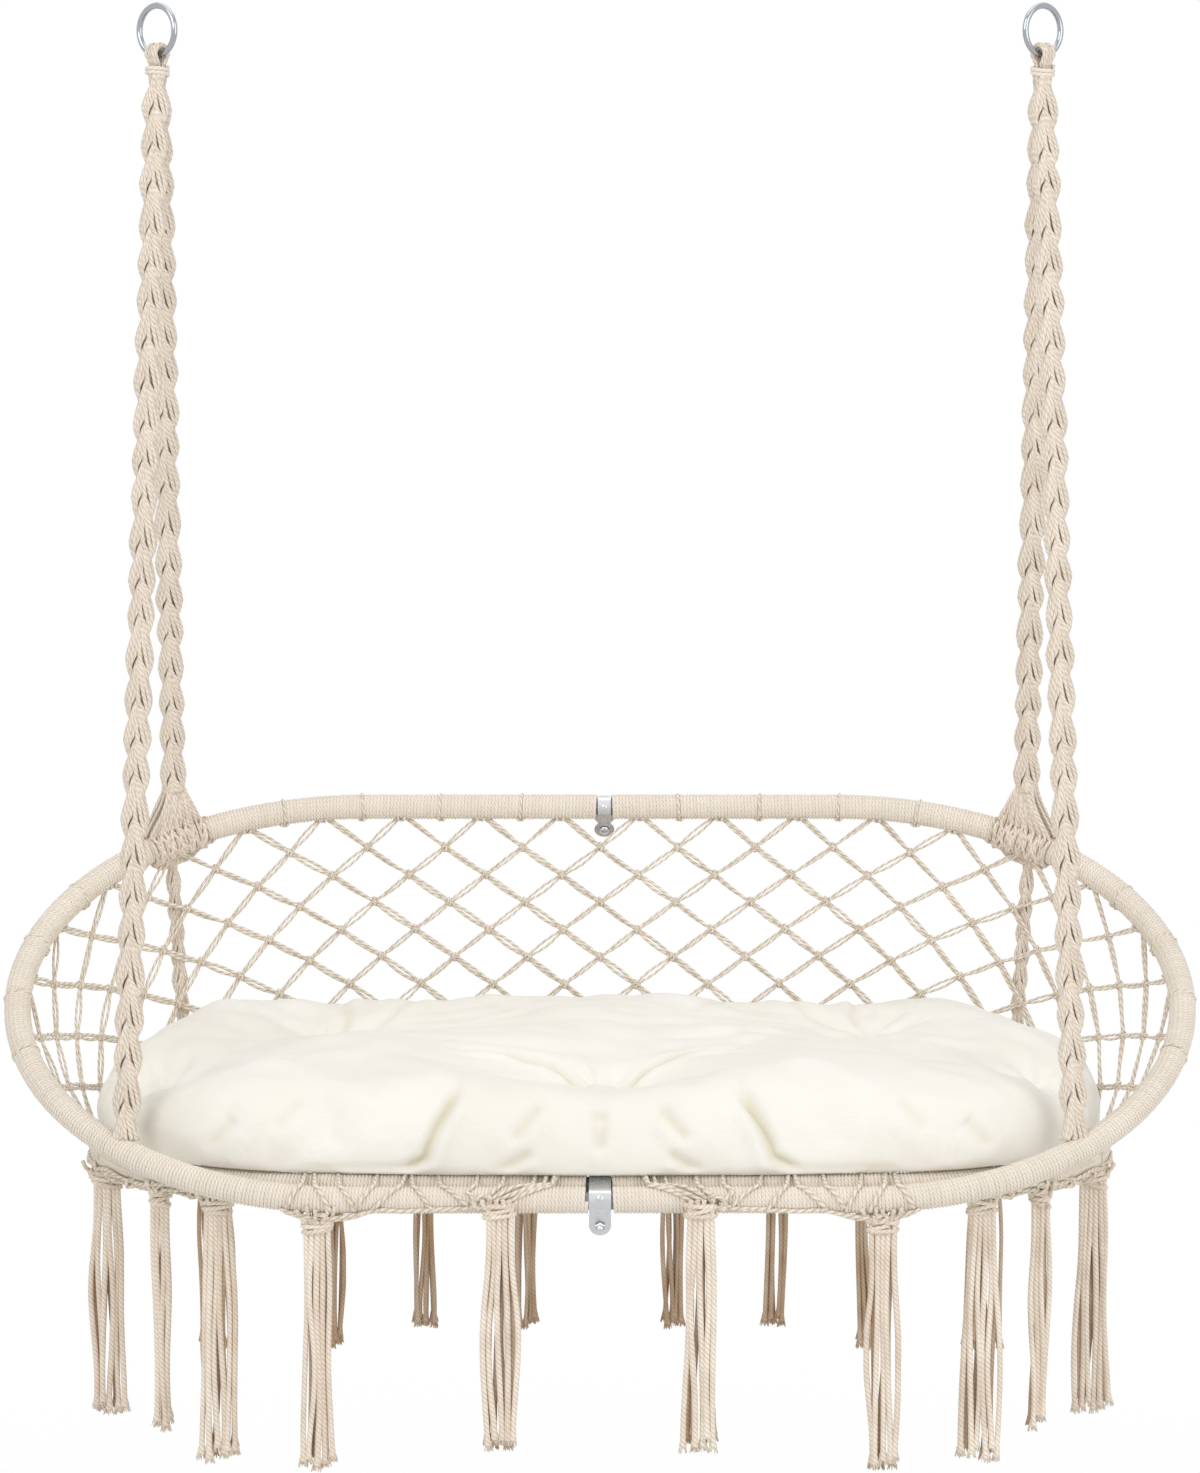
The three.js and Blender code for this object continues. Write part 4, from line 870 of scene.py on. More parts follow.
    def ropes(self, side: int, label: str) -> None:
        """Hangs the front and back plaits, the fan and the lower braid of one side.

        Args:
            side: -1 for the left, 1 for the right.
            label: Its name.
        """
        top = self.hook_foot(side) - UP * self.neck_length
        front_top = top - BACKWARDS * self.apart
        reach = side * self.front_reach * BACK_HOOP.end
        front_end = BACK_HOOP.at(BACK_HOOP.distance_at(reach, False))
        start = front_top + np.array([0, 3, 7]) * MM
        end = front_end - unit(front_end - front_top) * 12 * MM
        rope = self.rope.lay(start, end, RIGHT, self.rope_taper, SEED + 10 + side)
        rope.build(f"front_{label}_plait", Slot.ROPE, f"front_{label}_rope")
        hold = BACK_HOOP.distance_at(side * self.back_reach * BACK_HOOP.end, True)
        back_top = top + BACKWARDS * self.apart
        down = unit(BACK_HOOP.at(hold) - back_top)
        split = BACK_HOOP.at(hold) - down * self.fan_height
        start, end = back_top + np.array([0, -3, 7]) * MM, split + down * 9 * MM
        rope = self.rope.lay(start, end, RIGHT, self.rope_taper, SEED + 20 + side)
        rope.build(f"back_{label}_plait", Slot.ROPE, f"back_{label}_rope")
        low = SEAT_HOOP.distance_at(side * self.braid_reach * SEAT_HOOP.end, True)
        start, end = BACK_HOOP.at(hold), SEAT_HOOP.at(low)
        run = unit(end - start)
        outward = unit(np.cross(BACK_HOOP.along(hold), run))
        outward = outward if outward[1] > 0 else -outward
        shift = outward * (WRAP_RADIUS + self.braid_stand_off - 6 * MM)
        self.fan(label, (hold, split, start + shift + run * 26 * MM), SEED * 3 + side)
        start, end = start + shift + run * 20 * MM, end + shift - run * 8 * MM
        wide = BACK_HOOP.along(hold) * side
        braid = self.braid_plait.lay(start, end, wide, self.braid_taper, SEED + 30 + side)
        braid.build(f"back_{label}_braid_cords", Slot.ROPE, f"back_{label}_braid")

    def fan(self, label: str, ends: FanEnds, seed: int) -> None:
        """Spreads the plait's cords, knots them over the back hoop and gathers them below.

        Args:
            label: Which side it is on.
            ends: Where its middle holds the hoop, the plait's end and the lower braid's start.
            seed: Seed of its unevenness.
        """
        rng = random.Random(seed)
        fan = CordMesh()
        along = BACK_HOOP.along(ends[0])
        for layer in self.fan_layers:
            for part in np.arange(self.fan_cords) * 2 / (self.fan_cords - 1) - 1:
                path = self.fan_line(ends, (part, part), layer)
                fan.add(path, self.fan_cord, along, tint=rng.uniform(0.2, 0.6))
            self.knot_fan(fan, rng, ends, layer)
        fan.build(f"back_{label}_fan_cords", Slot.ROPE, f"back_{label}_rope_fan")

    def knot_fan(
        self,
        fan: CordMesh,
        rng: random.Random,
        ends: FanEnds,
        layer: tuple,
    ) -> None:
        """Adds the rows of hitches that hold one layer of the fan together.

        Args:
            fan: Cords of the fan.
            rng: Source of their unevenness.
            ends: Where the fan holds the hoop, the plait's end and the lower braid's start.
            layer: One row of fan_layers.
        """
        front = self.facing_front(ends[0]) * layer[0]
        for row in range(layer[1]):
            count = 5 + int(row * 0.75) if row < 8 else 8
            for k in range(count):
                part = (2 * k + 1) / count - 1 + rng.uniform(-0.05, 0.05)
                lean = (0.26 if (row + k) % 2 else -0.26) * rng.uniform(0.8, 1.3)
                line = self.fan_line(ends, (part - lean, part + lean), layer)
                begin = 0.03 + row * 0.082 + rng.uniform(-0.01, 0.01)
                spots = (begin + np.linspace(-0.045, 0.11, 7)) * (len(line) - 1)
                spots = np.clip(spots, 0, len(line) - 1)
                index = np.arange(len(line))
                loop = np.stack([np.interp(spots, index, line[:, i]) for i in range(3)], 1)
                centre = BACK_HOOP.at(ends[0] + part * self.fan_half_width)
                outward = unit(loop - centre + front * 14 * MM)
                arch = np.sin(np.linspace(0, np.pi, 7)) * 3.1 * MM - 0.4 * MM
                loop = loop + outward * arch[:, None]
                fan.add(loop, 2.0 * MM, outward, tint=rng.uniform(0.35, 0.95))

    def fan_line(
        self, ends: FanEnds, across: tuple[float, float], layer: tuple
    ) -> Array:
        """Line down the fan's surface: from the plait over the hoop and under it to the braid.

        Args:
            ends: Where the fan holds the hoop, the plait's end and the lower braid's start.
            across: Places across at the top and where it leaves the hoop, from -1 to 1.
            layer: One row of fan_layers. The one between the others ends on top of the hoop.

        Returns:
            The points of the line, about evenly spaced.
        """
        hold, split, gather = ends
        top_part, low_part = across
        facing, _, first, last, depth = layer
        along = BACK_HOOP.along(hold)
        front = self.facing_front(hold)
        angles = np.radians(np.linspace(first, last, 13))
        parts = np.clip(np.linspace(top_part, low_part, 13), -1.02, 1.02)
        places = hold + parts * self.fan_half_width
        radius = WRAP_RADIUS + 1.9 * MM
        wrap = np.concatenate(
            [self.round_hoop(p, radius, np.array([a])) for p, a in zip(places, angles)]
        )
        start = split + along * np.clip(top_part, -1, 1) * self.fan_top - front * depth * MM
        t = np.linspace(0, 1, 12)[:-1, None]
        flare = smooth(t * 0.75) / smooth(0.75)
        lead = start * (1 - t) + wrap[0] * t
        sideways = float((wrap[0] - start) @ along)
        lead = lead + along * sideways * (flare - t) + front * facing * np.sin(np.pi * t) * 4 * MM
        if not facing:
            return np.concatenate([lead, wrap[:1]])
        t = np.linspace(0, 1, 7)[1:, None]
        end = gather + along * np.clip(low_part, -1, 1) * 5.5 * MM
        tail = wrap[-1] * (1 - t) + end * t
        tail = tail + (front * facing - UP) * np.sin(np.pi * t) * 2.5 * MM
        return np.concatenate([lead, wrap, tail])

    @staticmethod
    def facing_front(distance: float) -> Array:
        """Finds the direction to the front, square to the back hoop and to the upright.

        Args:
            distance: Place on the back hoop.

        Returns:
            A unit direction.
        """
        along = BACK_HOOP.along(distance)
        up = unit(UP - along * float(UP @ along))
        front = np.cross(along, up)
        return front if front[1] < 0 else -front

    @staticmethod
    def round_hoop(distance: float, radius: float, angles: Array) -> Array:
        """Finds points round the back hoop.

        Args:
            distance: Place on the hoop.
            radius: Distance from the tube's axis.
            angles: 0 in front, a quarter turn on top.

        Returns:
            The points.
        """
        along = BACK_HOOP.along(distance)
        up = unit(UP - along * float(UP @ along))
        front = Suspension.facing_front(distance)
        ring = np.outer(np.sin(angles), up) + np.outer(np.cos(angles), front)
        return BACK_HOOP.at(distance) + radius * ring


@dataclass
class NetWork:
    """Knotted nets of the back and the seat, lashed to the wrapped hoops."""

    half_column: float = 43.4 * MM
    half_row: float = 30 * MM
    least_drop: float = 80 * MM
    cord: float = 1.62 * MM
    pair_gap: float = 2.0 * MM
    heavy: float = 1.15
    light: float = 0.88
    seat_half_column: float = 62 * MM
    seat_half_row: float = 45 * MM
    seat_sag: float = 26 * MM
    knot_radius: float = 3 * MM
    chain_cord: float = 2 * MM
    chain_loops: int = 5
    chain_ends: tuple = (0.735, 0.998)
    lacing_cord: float = 2.1 * MM
    lacing_runs: tuple = (
        ((-294, 98, 1), (-312, -30, 1.5)),
        ((-286, 98, 1), (-267, -38, 1.5)),
        ((-262, 98, 1), (-244, -34, 1.5)),
        ((-222, 98, 1), (-243, -18, 1.5)),
        ((-193, 98, 1), (-226, -28, 1.5)),
        ((-189, 98, 1), (-167, -26, 1.5), (-132, -22, 1.5), (-118, 0, 2)),
        ((-163, 98, 1), (-129, -20, 1.5)),
        ((-122, 98, 1), (-132, 42, 1), (-124, 10, 2)),
        ((-95, 98, 1), (-112, 16, 1.5)),
        ((-40, 98, 1), (-98, -6, 1.5)),
        ((-52, 96, 1.5), (-78, 44, 3.2), (-106, 4, 2.5)),
        ((-64, 92, 1), (-84, 62, 3), (-108, 14, 2)),
        ((-44, 92, 3), (-70, 52, 1.5), (-100, 12, 3.2)),
        ((-318, -42, 1.5), (-298, -64, 3), (-279, -72, 6), (-250, -58, 3), (-219, -28, 1.5)),
        ((-314, -52, 2), (-296, -74, 5), (-279, -80, 7), (-252, -70, 4.5), (-232, -40, 2)),
        ((-219, -28, 1.5), (-196, -36, 1.6), (-167, -28, 1.5), (-140, -26, 1.8)),
    )
    seat_columns: int = 8
    seat_rows: int = 5
    share: float = SEAT_HOOP.half / BACK_HOOP.half
    last: int = 1
    rng: random.Random = field(default_factory=lambda: random.Random(SEED))

    def build(self) -> None:
        """Makes the back net, the side nets, the seat net and the lashings."""
        while self.drop(self.last + 1) > self.least_drop:
            self.last += 1
        self.back_and_sides()
        self.seat()
        self.lashings()
        self.front_lacing()
        self.edge_chain()

    def column(self, column: float) -> tuple[Array, Array, Array, float, float]:
        """Measures a column of knots.

        Args:
            column: Its number from the middle.

        Returns:
            Upper point, lower point, direction down, and the free start and end.
        """
        on_back = column * self.half_column
        on_seat = on_back * self.share
        high, low = BACK_HOOP.at(on_back), SEAT_HOOP.at(on_seat)
        down = low - high
        length = float(np.linalg.norm(down))
        down = down / length
        square_high = np.linalg.norm(np.cross(down, BACK_HOOP.along(on_back)))
        square_low = np.linalg.norm(np.cross(down, SEAT_HOOP.along(on_seat)))
        reach = WRAP_RADIUS + 0.3 * MM
        return high, low, down, reach / float(square_high), length - reach / float(square_low)

    def drop(self, column: float) -> float:
        """Free length of a column between the wrapped hoops."""
        _, _, _, start, end = self.column(column)
        return end - start

    def place(self, column: float, depth: float) -> Array:
        """Point of the net's surface."""
        high, _, down, _, _ = self.column(column)
        return high + down * depth

    def facing(self, column: float, depth: float) -> tuple[Array, Array, Array]:
        """Finds how the net lies at a place.

        Args:
            column: Number of the column.
            depth: Distance down it.

        Returns:
            Directions along, down and out of the net.
        """
        high, low, down, _, _ = self.column(column)
        t = depth / float(np.linalg.norm(low - high))
        a = BACK_HOOP.along(column * self.half_column)
        b = SEAT_HOOP.along(column * self.half_column * self.share)
        right = a * (1 - t) + b * t
        right = unit(right - down * float(right @ down))
        return right, down, np.cross(right, down)

    def row_depth(self, column: float, row: int) -> float:
        """Depth of a row of knots below the back hoop's axis."""
        return self.column(column)[3] + row * self.half_row

    def has_knot(self, column: int, row: int) -> bool:
        """Tells whether the lattice has a knot at a place.

        Args:
            column: Number of the column.
            row: Number of the row.

        Returns:
            Whether it has.
        """
        if row < 1 or abs(column) > self.last or (column + row) % 2 == 0:
            return False
        return self.row_depth(column, row) <= self.column(column)[4] - 0.45 * self.half_row

    def group(self, column: int) -> str:
        """Net that a column belongs to."""
        flat = int(STRAIGHT_MM * MM / self.half_column)
        return "left" if column < -flat else "right" if column > flat else "middle"

    def leg(
        self,
        mesh: CordMesh,
        start: Array,
        end: Array,
        normal: Array,
        thick: float,
        slack: float = 0.0,
    ) -> None:
        """Lays the two loosely twisted cords of one leg, which part a little half way.

        Args:
            mesh: Where the cords go.
            start: First knot's centre.
            end: Second knot's centre.
            normal: Out of the net.
            thick: Scale of the cords.
            slack: How far the leg bows downwards.
        """
        run = end - start
        length = float(np.linalg.norm(run))
        along = run / max(length, 1e-6)
        aside = np.cross(normal, along)
        t = np.linspace(0, 1, 9)
        bow = -UP * slack + normal * self.rng.uniform(-0.8, 0.8) * MM
        base = start + np.outer(t, run) + np.outer(4 * t * (1 - t), bow)
        open_ = self.pair_gap * (0.5 + self.rng.uniform(0.35, 0.95) * np.sin(np.pi * t) ** 1.5)
        turn = self.rng.uniform(-0.5, 0.5) + self.rng.uniform(0.15, 0.5) * np.pi * t
        for way in (-1, 1):
            off = aside[None] * (way * open_ * np.cos(turn))[:, None]
            rise = normal[None] * (way * open_ * np.sin(turn) * 0.8)[:, None]
            tint = self.rng.uniform(0.35, 0.95)
            mesh.add(base + off + rise, self.cord * thick, normal, sides=6, tint=tint)

    def knot(
        self,
        mesh: CordMesh,
        centre: Array,
        right: Array,
        down: Array,
        normal: Array,
        size: float = 1.0,
    ) -> None:
        """Ties one small soft knot: two short loops that cross over the meeting legs.

        Args:
            mesh: Where the cords go.
            centre: Middle of the knot.
            right: Along the net.
            down: Down the net.
            normal: Out of the net.
            size: Scale of the knot.
        """
        for way, turns in ((1, 1.45), (-1, 1.15)):
            lean = self.rng.uniform(0.75, 1.2)
            carrier = unit(right * self.half_column * way * lean + down * self.half_row)
            aside = np.cross(normal, carrier)
            t = np.linspace(0, 1, 13)
            angle = 2 * np.pi * turns * t + self.rng.uniform(-0.6, 0.6)
            radius = (1 + 0.2 * np.sin(np.pi * t)) * self.knot_radius * size
            step = (t - 0.5) * self.rng.uniform(4.5, 7.0) * MM * size
            path = centre + np.outer(step, carrier)
            path = path + aside * (radius * 1.15 * np.cos(angle))[:, None]
            path = path + normal * (radius * 0.85 * np.sin(angle))[:, None]
            radial = aside * np.cos(angle)[:, None] + normal * np.sin(angle)[:, None]
            tint = self.rng.uniform(0.35, 0.95)
            mesh.add(path, self.cord * self.rng.uniform(0.95, 1.1), radial, sides=5, tint=tint)

    def back_and_sides(self) -> None:
        """Ties the net that hangs between the hoops."""
        nets = {"left": CordMesh(), "middle": CordMesh(), "right": CordMesh()}
        rows = int(self.column(0)[4] / self.half_row) + 2
        for column in range(-self.last, self.last + 1):
            for row in range(1, rows):
                if self.has_knot(column, row):
                    self.tie(nets[self.group(column)], column, row)
        for group, name in (("left", "left_side"), ("middle", "back"), ("right", "right_side")):
            nets[group].build(f"{name}_netting", Slot.NET, f"{name}_net")

    def tie(self, mesh: CordMesh, column: int, row: int) -> None:
        """Makes one knot with its legs down, and up where it is the top row.

        Args:
            mesh: Where the cords go.
            column: Number of the column.
            row: Number of the row.
        """
        depth = self.row_depth(column, row)
        centre = self.place(column, depth)
        right, down, normal = self.facing(column, depth)
        if normal[1] > 0:
            normal = -normal
        self.knot(mesh, centre, right, down, normal)
        for across in (-1, 1):
            thick = self.heavy if across > 0 else self.light
            other = (column + across, row + 1)
            if abs(other[0]) <= self.last:
                if self.has_knot(*other):
                    end = self.place(other[0], self.row_depth(*other))
                else:
                    free = self.column(column + across)[4]
                    room = min(max((free - depth) / self.half_row, 0.15), 1.0)
                    reach = column + across * room
                    end = self.place(reach, self.column(reach)[4] + 3 * MM)
                self.leg(mesh, centre, end, normal, thick, self.rng.uniform(0.2, 1.6) * MM)
            above = (column - across, row - 1)
            if abs(above[0]) <= self.last and not self.has_knot(*above):
                reach = above[0] + across * 0.08
                start = self.place(reach, self.column(reach)[3] - 3 * MM)
                self.leg(mesh, start, centre, normal, thick)

    def sag(self, x: float, y: float) -> float:
        """Depth of the seat net below the seat hoop's axis."""
        inset = min(1.0, max(0.0, (self.to_edge(x, y) - 14.3 * MM) / (115 * MM)))
        return -self.seat_sag * inset * (2 - inset)

    @staticmethod
    def to_edge(x: float, y: float) -> float:
        """Measures the distance in plan to the seat hoop's centre line.

        Args:
            x: Place along the seat.
            y: Place from front to back.

        Returns:
            The distance, negative outside.
        """
        flat = SEAT_HOOP.flat
        off = float(np.hypot(flat[:, 0] - abs(x), flat[:, 1] - y).min())
        straight = STRAIGHT_MM * MM
        bow = max(abs(x) - straight, 0) / (SEAT_HOOP.end - straight)
        return off if math.hypot(bow, y / SEAT_HOOP.depth) < 1 else -off

    def seat_spot(self, column: float, row: float) -> Array:
        """Place of a knot of the seat net."""
        x, y = column * self.seat_half_column, row * self.seat_half_row
        return np.array([x, y, self.sag(x, y)]) + SEAT_ORIGIN

    def on_seat(self, column: int, row: int) -> bool:
        """Whether a place is far enough inside the seat hoop for a knot."""
        spot = column * self.seat_half_column, row * self.seat_half_row
        return self.to_edge(*spot) > WRAP_RADIUS + 10.3 * MM

    def seat(self) -> None:
        """Ties the net under the cushion."""
        net = CordMesh()
        for column in range(-self.seat_columns, self.seat_columns + 1):
            for row in range(-self.seat_rows, self.seat_rows + 1):
                if (column + row) % 2 == 0 and self.on_seat(column, row):
                    self.tie_seat(net, column, row)
        net.build("seat_netting", Slot.NET, "seat_net")

    def tie_seat(self, net: CordMesh, column: int, row: int) -> None:
        """Makes one knot of the seat net with its legs.

        Args:
            net: Where the cords go.
            column: Number of the column.
            row: Number of the row.
        """
        centre = self.seat_spot(column, row)
        self.knot(net, centre, RIGHT, BACKWARDS, UP, 0.8)
        for across, along in ((1, 1), (-1, 1), (1, -1), (-1, -1)):
            near = self.on_seat(column + across, row + along)
            if near and along < 0:
                continue
            end = self.seat_spot(column + across, row + along)
            if not near:
                step = end - centre
                t = 0.0
                while t < 1.2 and self.to_edge(*(centre + step * t - SEAT_ORIGIN)[:2]) > 12 * MM:
                    t += 0.02
                end = centre + step * t
                end[2] = SEAT_ORIGIN[2] - 2 * MM
            self.leg(net, centre, end, UP, self.heavy if across > 0 else self.light)

    def lashings(self) -> None:
        """Winds the net's edge cords round both hoops, sunk between the wrapping's turns."""
        high, low = CordMesh(), CordMesh()
        for column in range(-self.last, self.last + 1):
            self.lash(high, BACK_HOOP, column * self.half_column, column % 2 == 0)
            self.lash(low, SEAT_HOOP, column * self.half_column * self.share, column % 2 == 0)
        high.build("back_hoop_lashings", Slot.NET)
        low.build("seat_hoop_lashings", Slot.NET)

    @staticmethod
    def front_spot(reach: float, angle: float, out: float) -> Array:
        """Finds a place on the front run.

        Args:
            reach: Place along the seat, in mm.
            angle: Degrees above the front.
            out: Distance out of the wrapping, in mm.

        Returns:
            The point.
        """
        turn = math.radians(angle)
        hoop = BACK_HOOP if angle <= 90 else SEAT_HOOP
        axis = hoop.at(hoop.distance_at(reach * MM, False))
        return axis + (WRAP_RADIUS + out * MM) * np.array([0, -math.cos(turn), math.sin(turn)])

    def front_lacing(self) -> None:
        """Laces the seat net's edge over the front of the hoops in a zigzag with two knots."""
        lacing = CordMesh()
        for side in (-1, 1):
            for run in self.lacing_runs:
                stops = np.array(run, float)
                t = np.linspace(0, len(stops) - 1, 7 * (len(stops) - 1) + 1)
                reach, angle, out = (np.interp(t, np.arange(len(stops)), c) for c in stops.T)
                wave = self.rng.uniform(-1.2, 1.2) * np.sin(np.pi * (t % 1))
                spots = zip(reach + wave, angle, out)
                path = np.stack([self.front_spot(-side * r, a, o) for r, a, o in spots])
                tint = self.rng.uniform(0.3, 0.75)
                mesh_radius = self.lacing_cord * self.rng.uniform(0.92, 1.08)
                lacing.add(path, mesh_radius, (0, -1, 0.2), sides=7, tint=tint)
            for reach, angle, out, wide, high in ((-117, 4, 2.5, 10, 9), (-279, -68, 5, 8, 6)):
                centre = self.front_spot(-side * reach, angle, out)
                self.cluster(lacing, centre, wide * MM, high * MM)
        lacing.build("front_lacing_cords", Slot.NET)

    def cluster(self, mesh: CordMesh, centre: Array, wide: float, high: float) -> None:
        """Ties a hand knot of several loose loops, one over the other, facing the front.

        Args:
            mesh: Where the cords go.
            centre: Middle of the knot.
            wide: Half width.
            high: Half height.
        """
        for loop in range(5):
            t = np.linspace(0, 2 * np.pi * self.rng.uniform(0.8, 1.05), 17) + self.rng.uniform(0, 6)
            lean = self.rng.uniform(-0.9, 0.9)
            a, b = wide * self.rng.uniform(0.6, 1.0), high * self.rng.uniform(0.45, 0.8)
            x, z = a * np.cos(t), b * np.sin(t)
            x, z = x * math.cos(lean) - z * math.sin(lean), x * math.sin(lean) + z * math.cos(lean)
            y = -(0.6 * loop + 1.4 * np.sin(2 * t + loop)) * MM
            path = centre + np.stack([x, y, z], 1)
            tint = self.rng.uniform(0.3, 0.9)
            mesh.add(path, self.lacing_cord * 0.85, (0, -1, 0), sides=6, tint=tint)

    def edge_chain(self) -> None:
        """Runs the looped chain of cords under the seat hoop's rounded ends."""
        chain = CordMesh()
        for side in (-1, 1):
            start, end = (
                SEAT_HOOP.distance_at(share * SEAT_HOOP.end, False) for share in self.chain_ends
            )
            t = np.linspace(0, 1, 61)
            for strand in range(4):
                wave = np.pi * t * self.chain_loops
                loops = np.abs(np.sin(wave + np.pi * strand / 2))
                angle = math.radians(-38 - 17 * strand) - 0.22 * np.cos(wave + strand)
                place = side * (start + (end - start) * t)
                radial = HoopWrapping.radial(SEAT_HOOP, place, angle)
                out = WRAP_RADIUS + (1.6 + (1.2 + 2.2 * (strand > 1)) * loops) * MM
                path = SEAT_HOOP.at(place) + radial * out[:, None]
                tint = self.rng.uniform(0.3, 0.8)
                chain.add(path, self.chain_cord, radial, sides=6, tint=tint)
            for knot in np.linspace(0.1, 0.95, 6):
                place = np.array([side * (start + (end - start) * knot)])
                radial = HoopWrapping.radial(SEAT_HOOP, place, np.radians([-55.0]))
                centre = (SEAT_HOOP.at(place) + radial * (WRAP_RADIUS + 2.5 * MM))[0]
                self.cluster(chain, centre, 7 * MM, 5 * MM)
        chain.build("seat_edge_chain_cords", Slot.NET)

    def lash(self, mesh: CordMesh, hoop: HoopLine, distance: float, full: bool) -> None:
        """Winds one slanted turn, and a small hitch at the hoop's inner edge.

        Args:
            mesh: Where the cords go.
            hoop: The hoop's line.
            distance: Where it is wound.
            full: Whether the turn goes right round, or only the hitch is made.
        """
        if abs(distance - 4.7 * MM) < 16 * MM:
            return
        if full:
            slant = self.rng.choice((-1, 1)) * self.rng.uniform(4, 7) * MM
            t = np.linspace(-0.5, 0.5, 15)
            place = distance + t * slant
            angle = self.rng.uniform(0, ANY_ANGLE) + (t + 0.5) * 2 * np.pi
            radial = HoopWrapping.radial(hoop, place, angle)
            path = hoop.at(place) + radial * (WRAP_RADIUS - 0.1 * MM)
            mesh.add(path, self.cord * 0.9, radial, sides=6, tint=self.rng.uniform(0.45, 0.9))
        net = self.column(distance / self.half_column / (1 if hoop is BACK_HOOP else self.share))[2]
        net = net if hoop is BACK_HOOP else -net
        axes = HoopWrapping.radial(hoop, np.array([distance] * 2), np.array([0, math.pi / 2]))
        inner = math.atan2(float(axes[1] @ net), float(axes[0] @ net))
        for way in (-1, 1):
            t = np.linspace(-1, 1, 9)
            angle = inner + t * 0.55
            place = distance + way * (1.2 + 2.6 * np.abs(t)) * MM
            radial = HoopWrapping.radial(hoop, place, angle)
            path = hoop.at(place) + radial * (WRAP_RADIUS + 0.7 * MM)
            mesh.add(path, self.cord, radial, sides=6, tint=self.rng.uniform(0.45, 0.9))


@dataclass(frozen=True)
class Tassel:
    """One tassel of the fringe: where it hangs and how long and wide it is."""

    name: str
    hoop: HoopLine
    reach: float
    back: bool
    length: float
    width: float
    strands: tuple
    forward: float
    rise: float


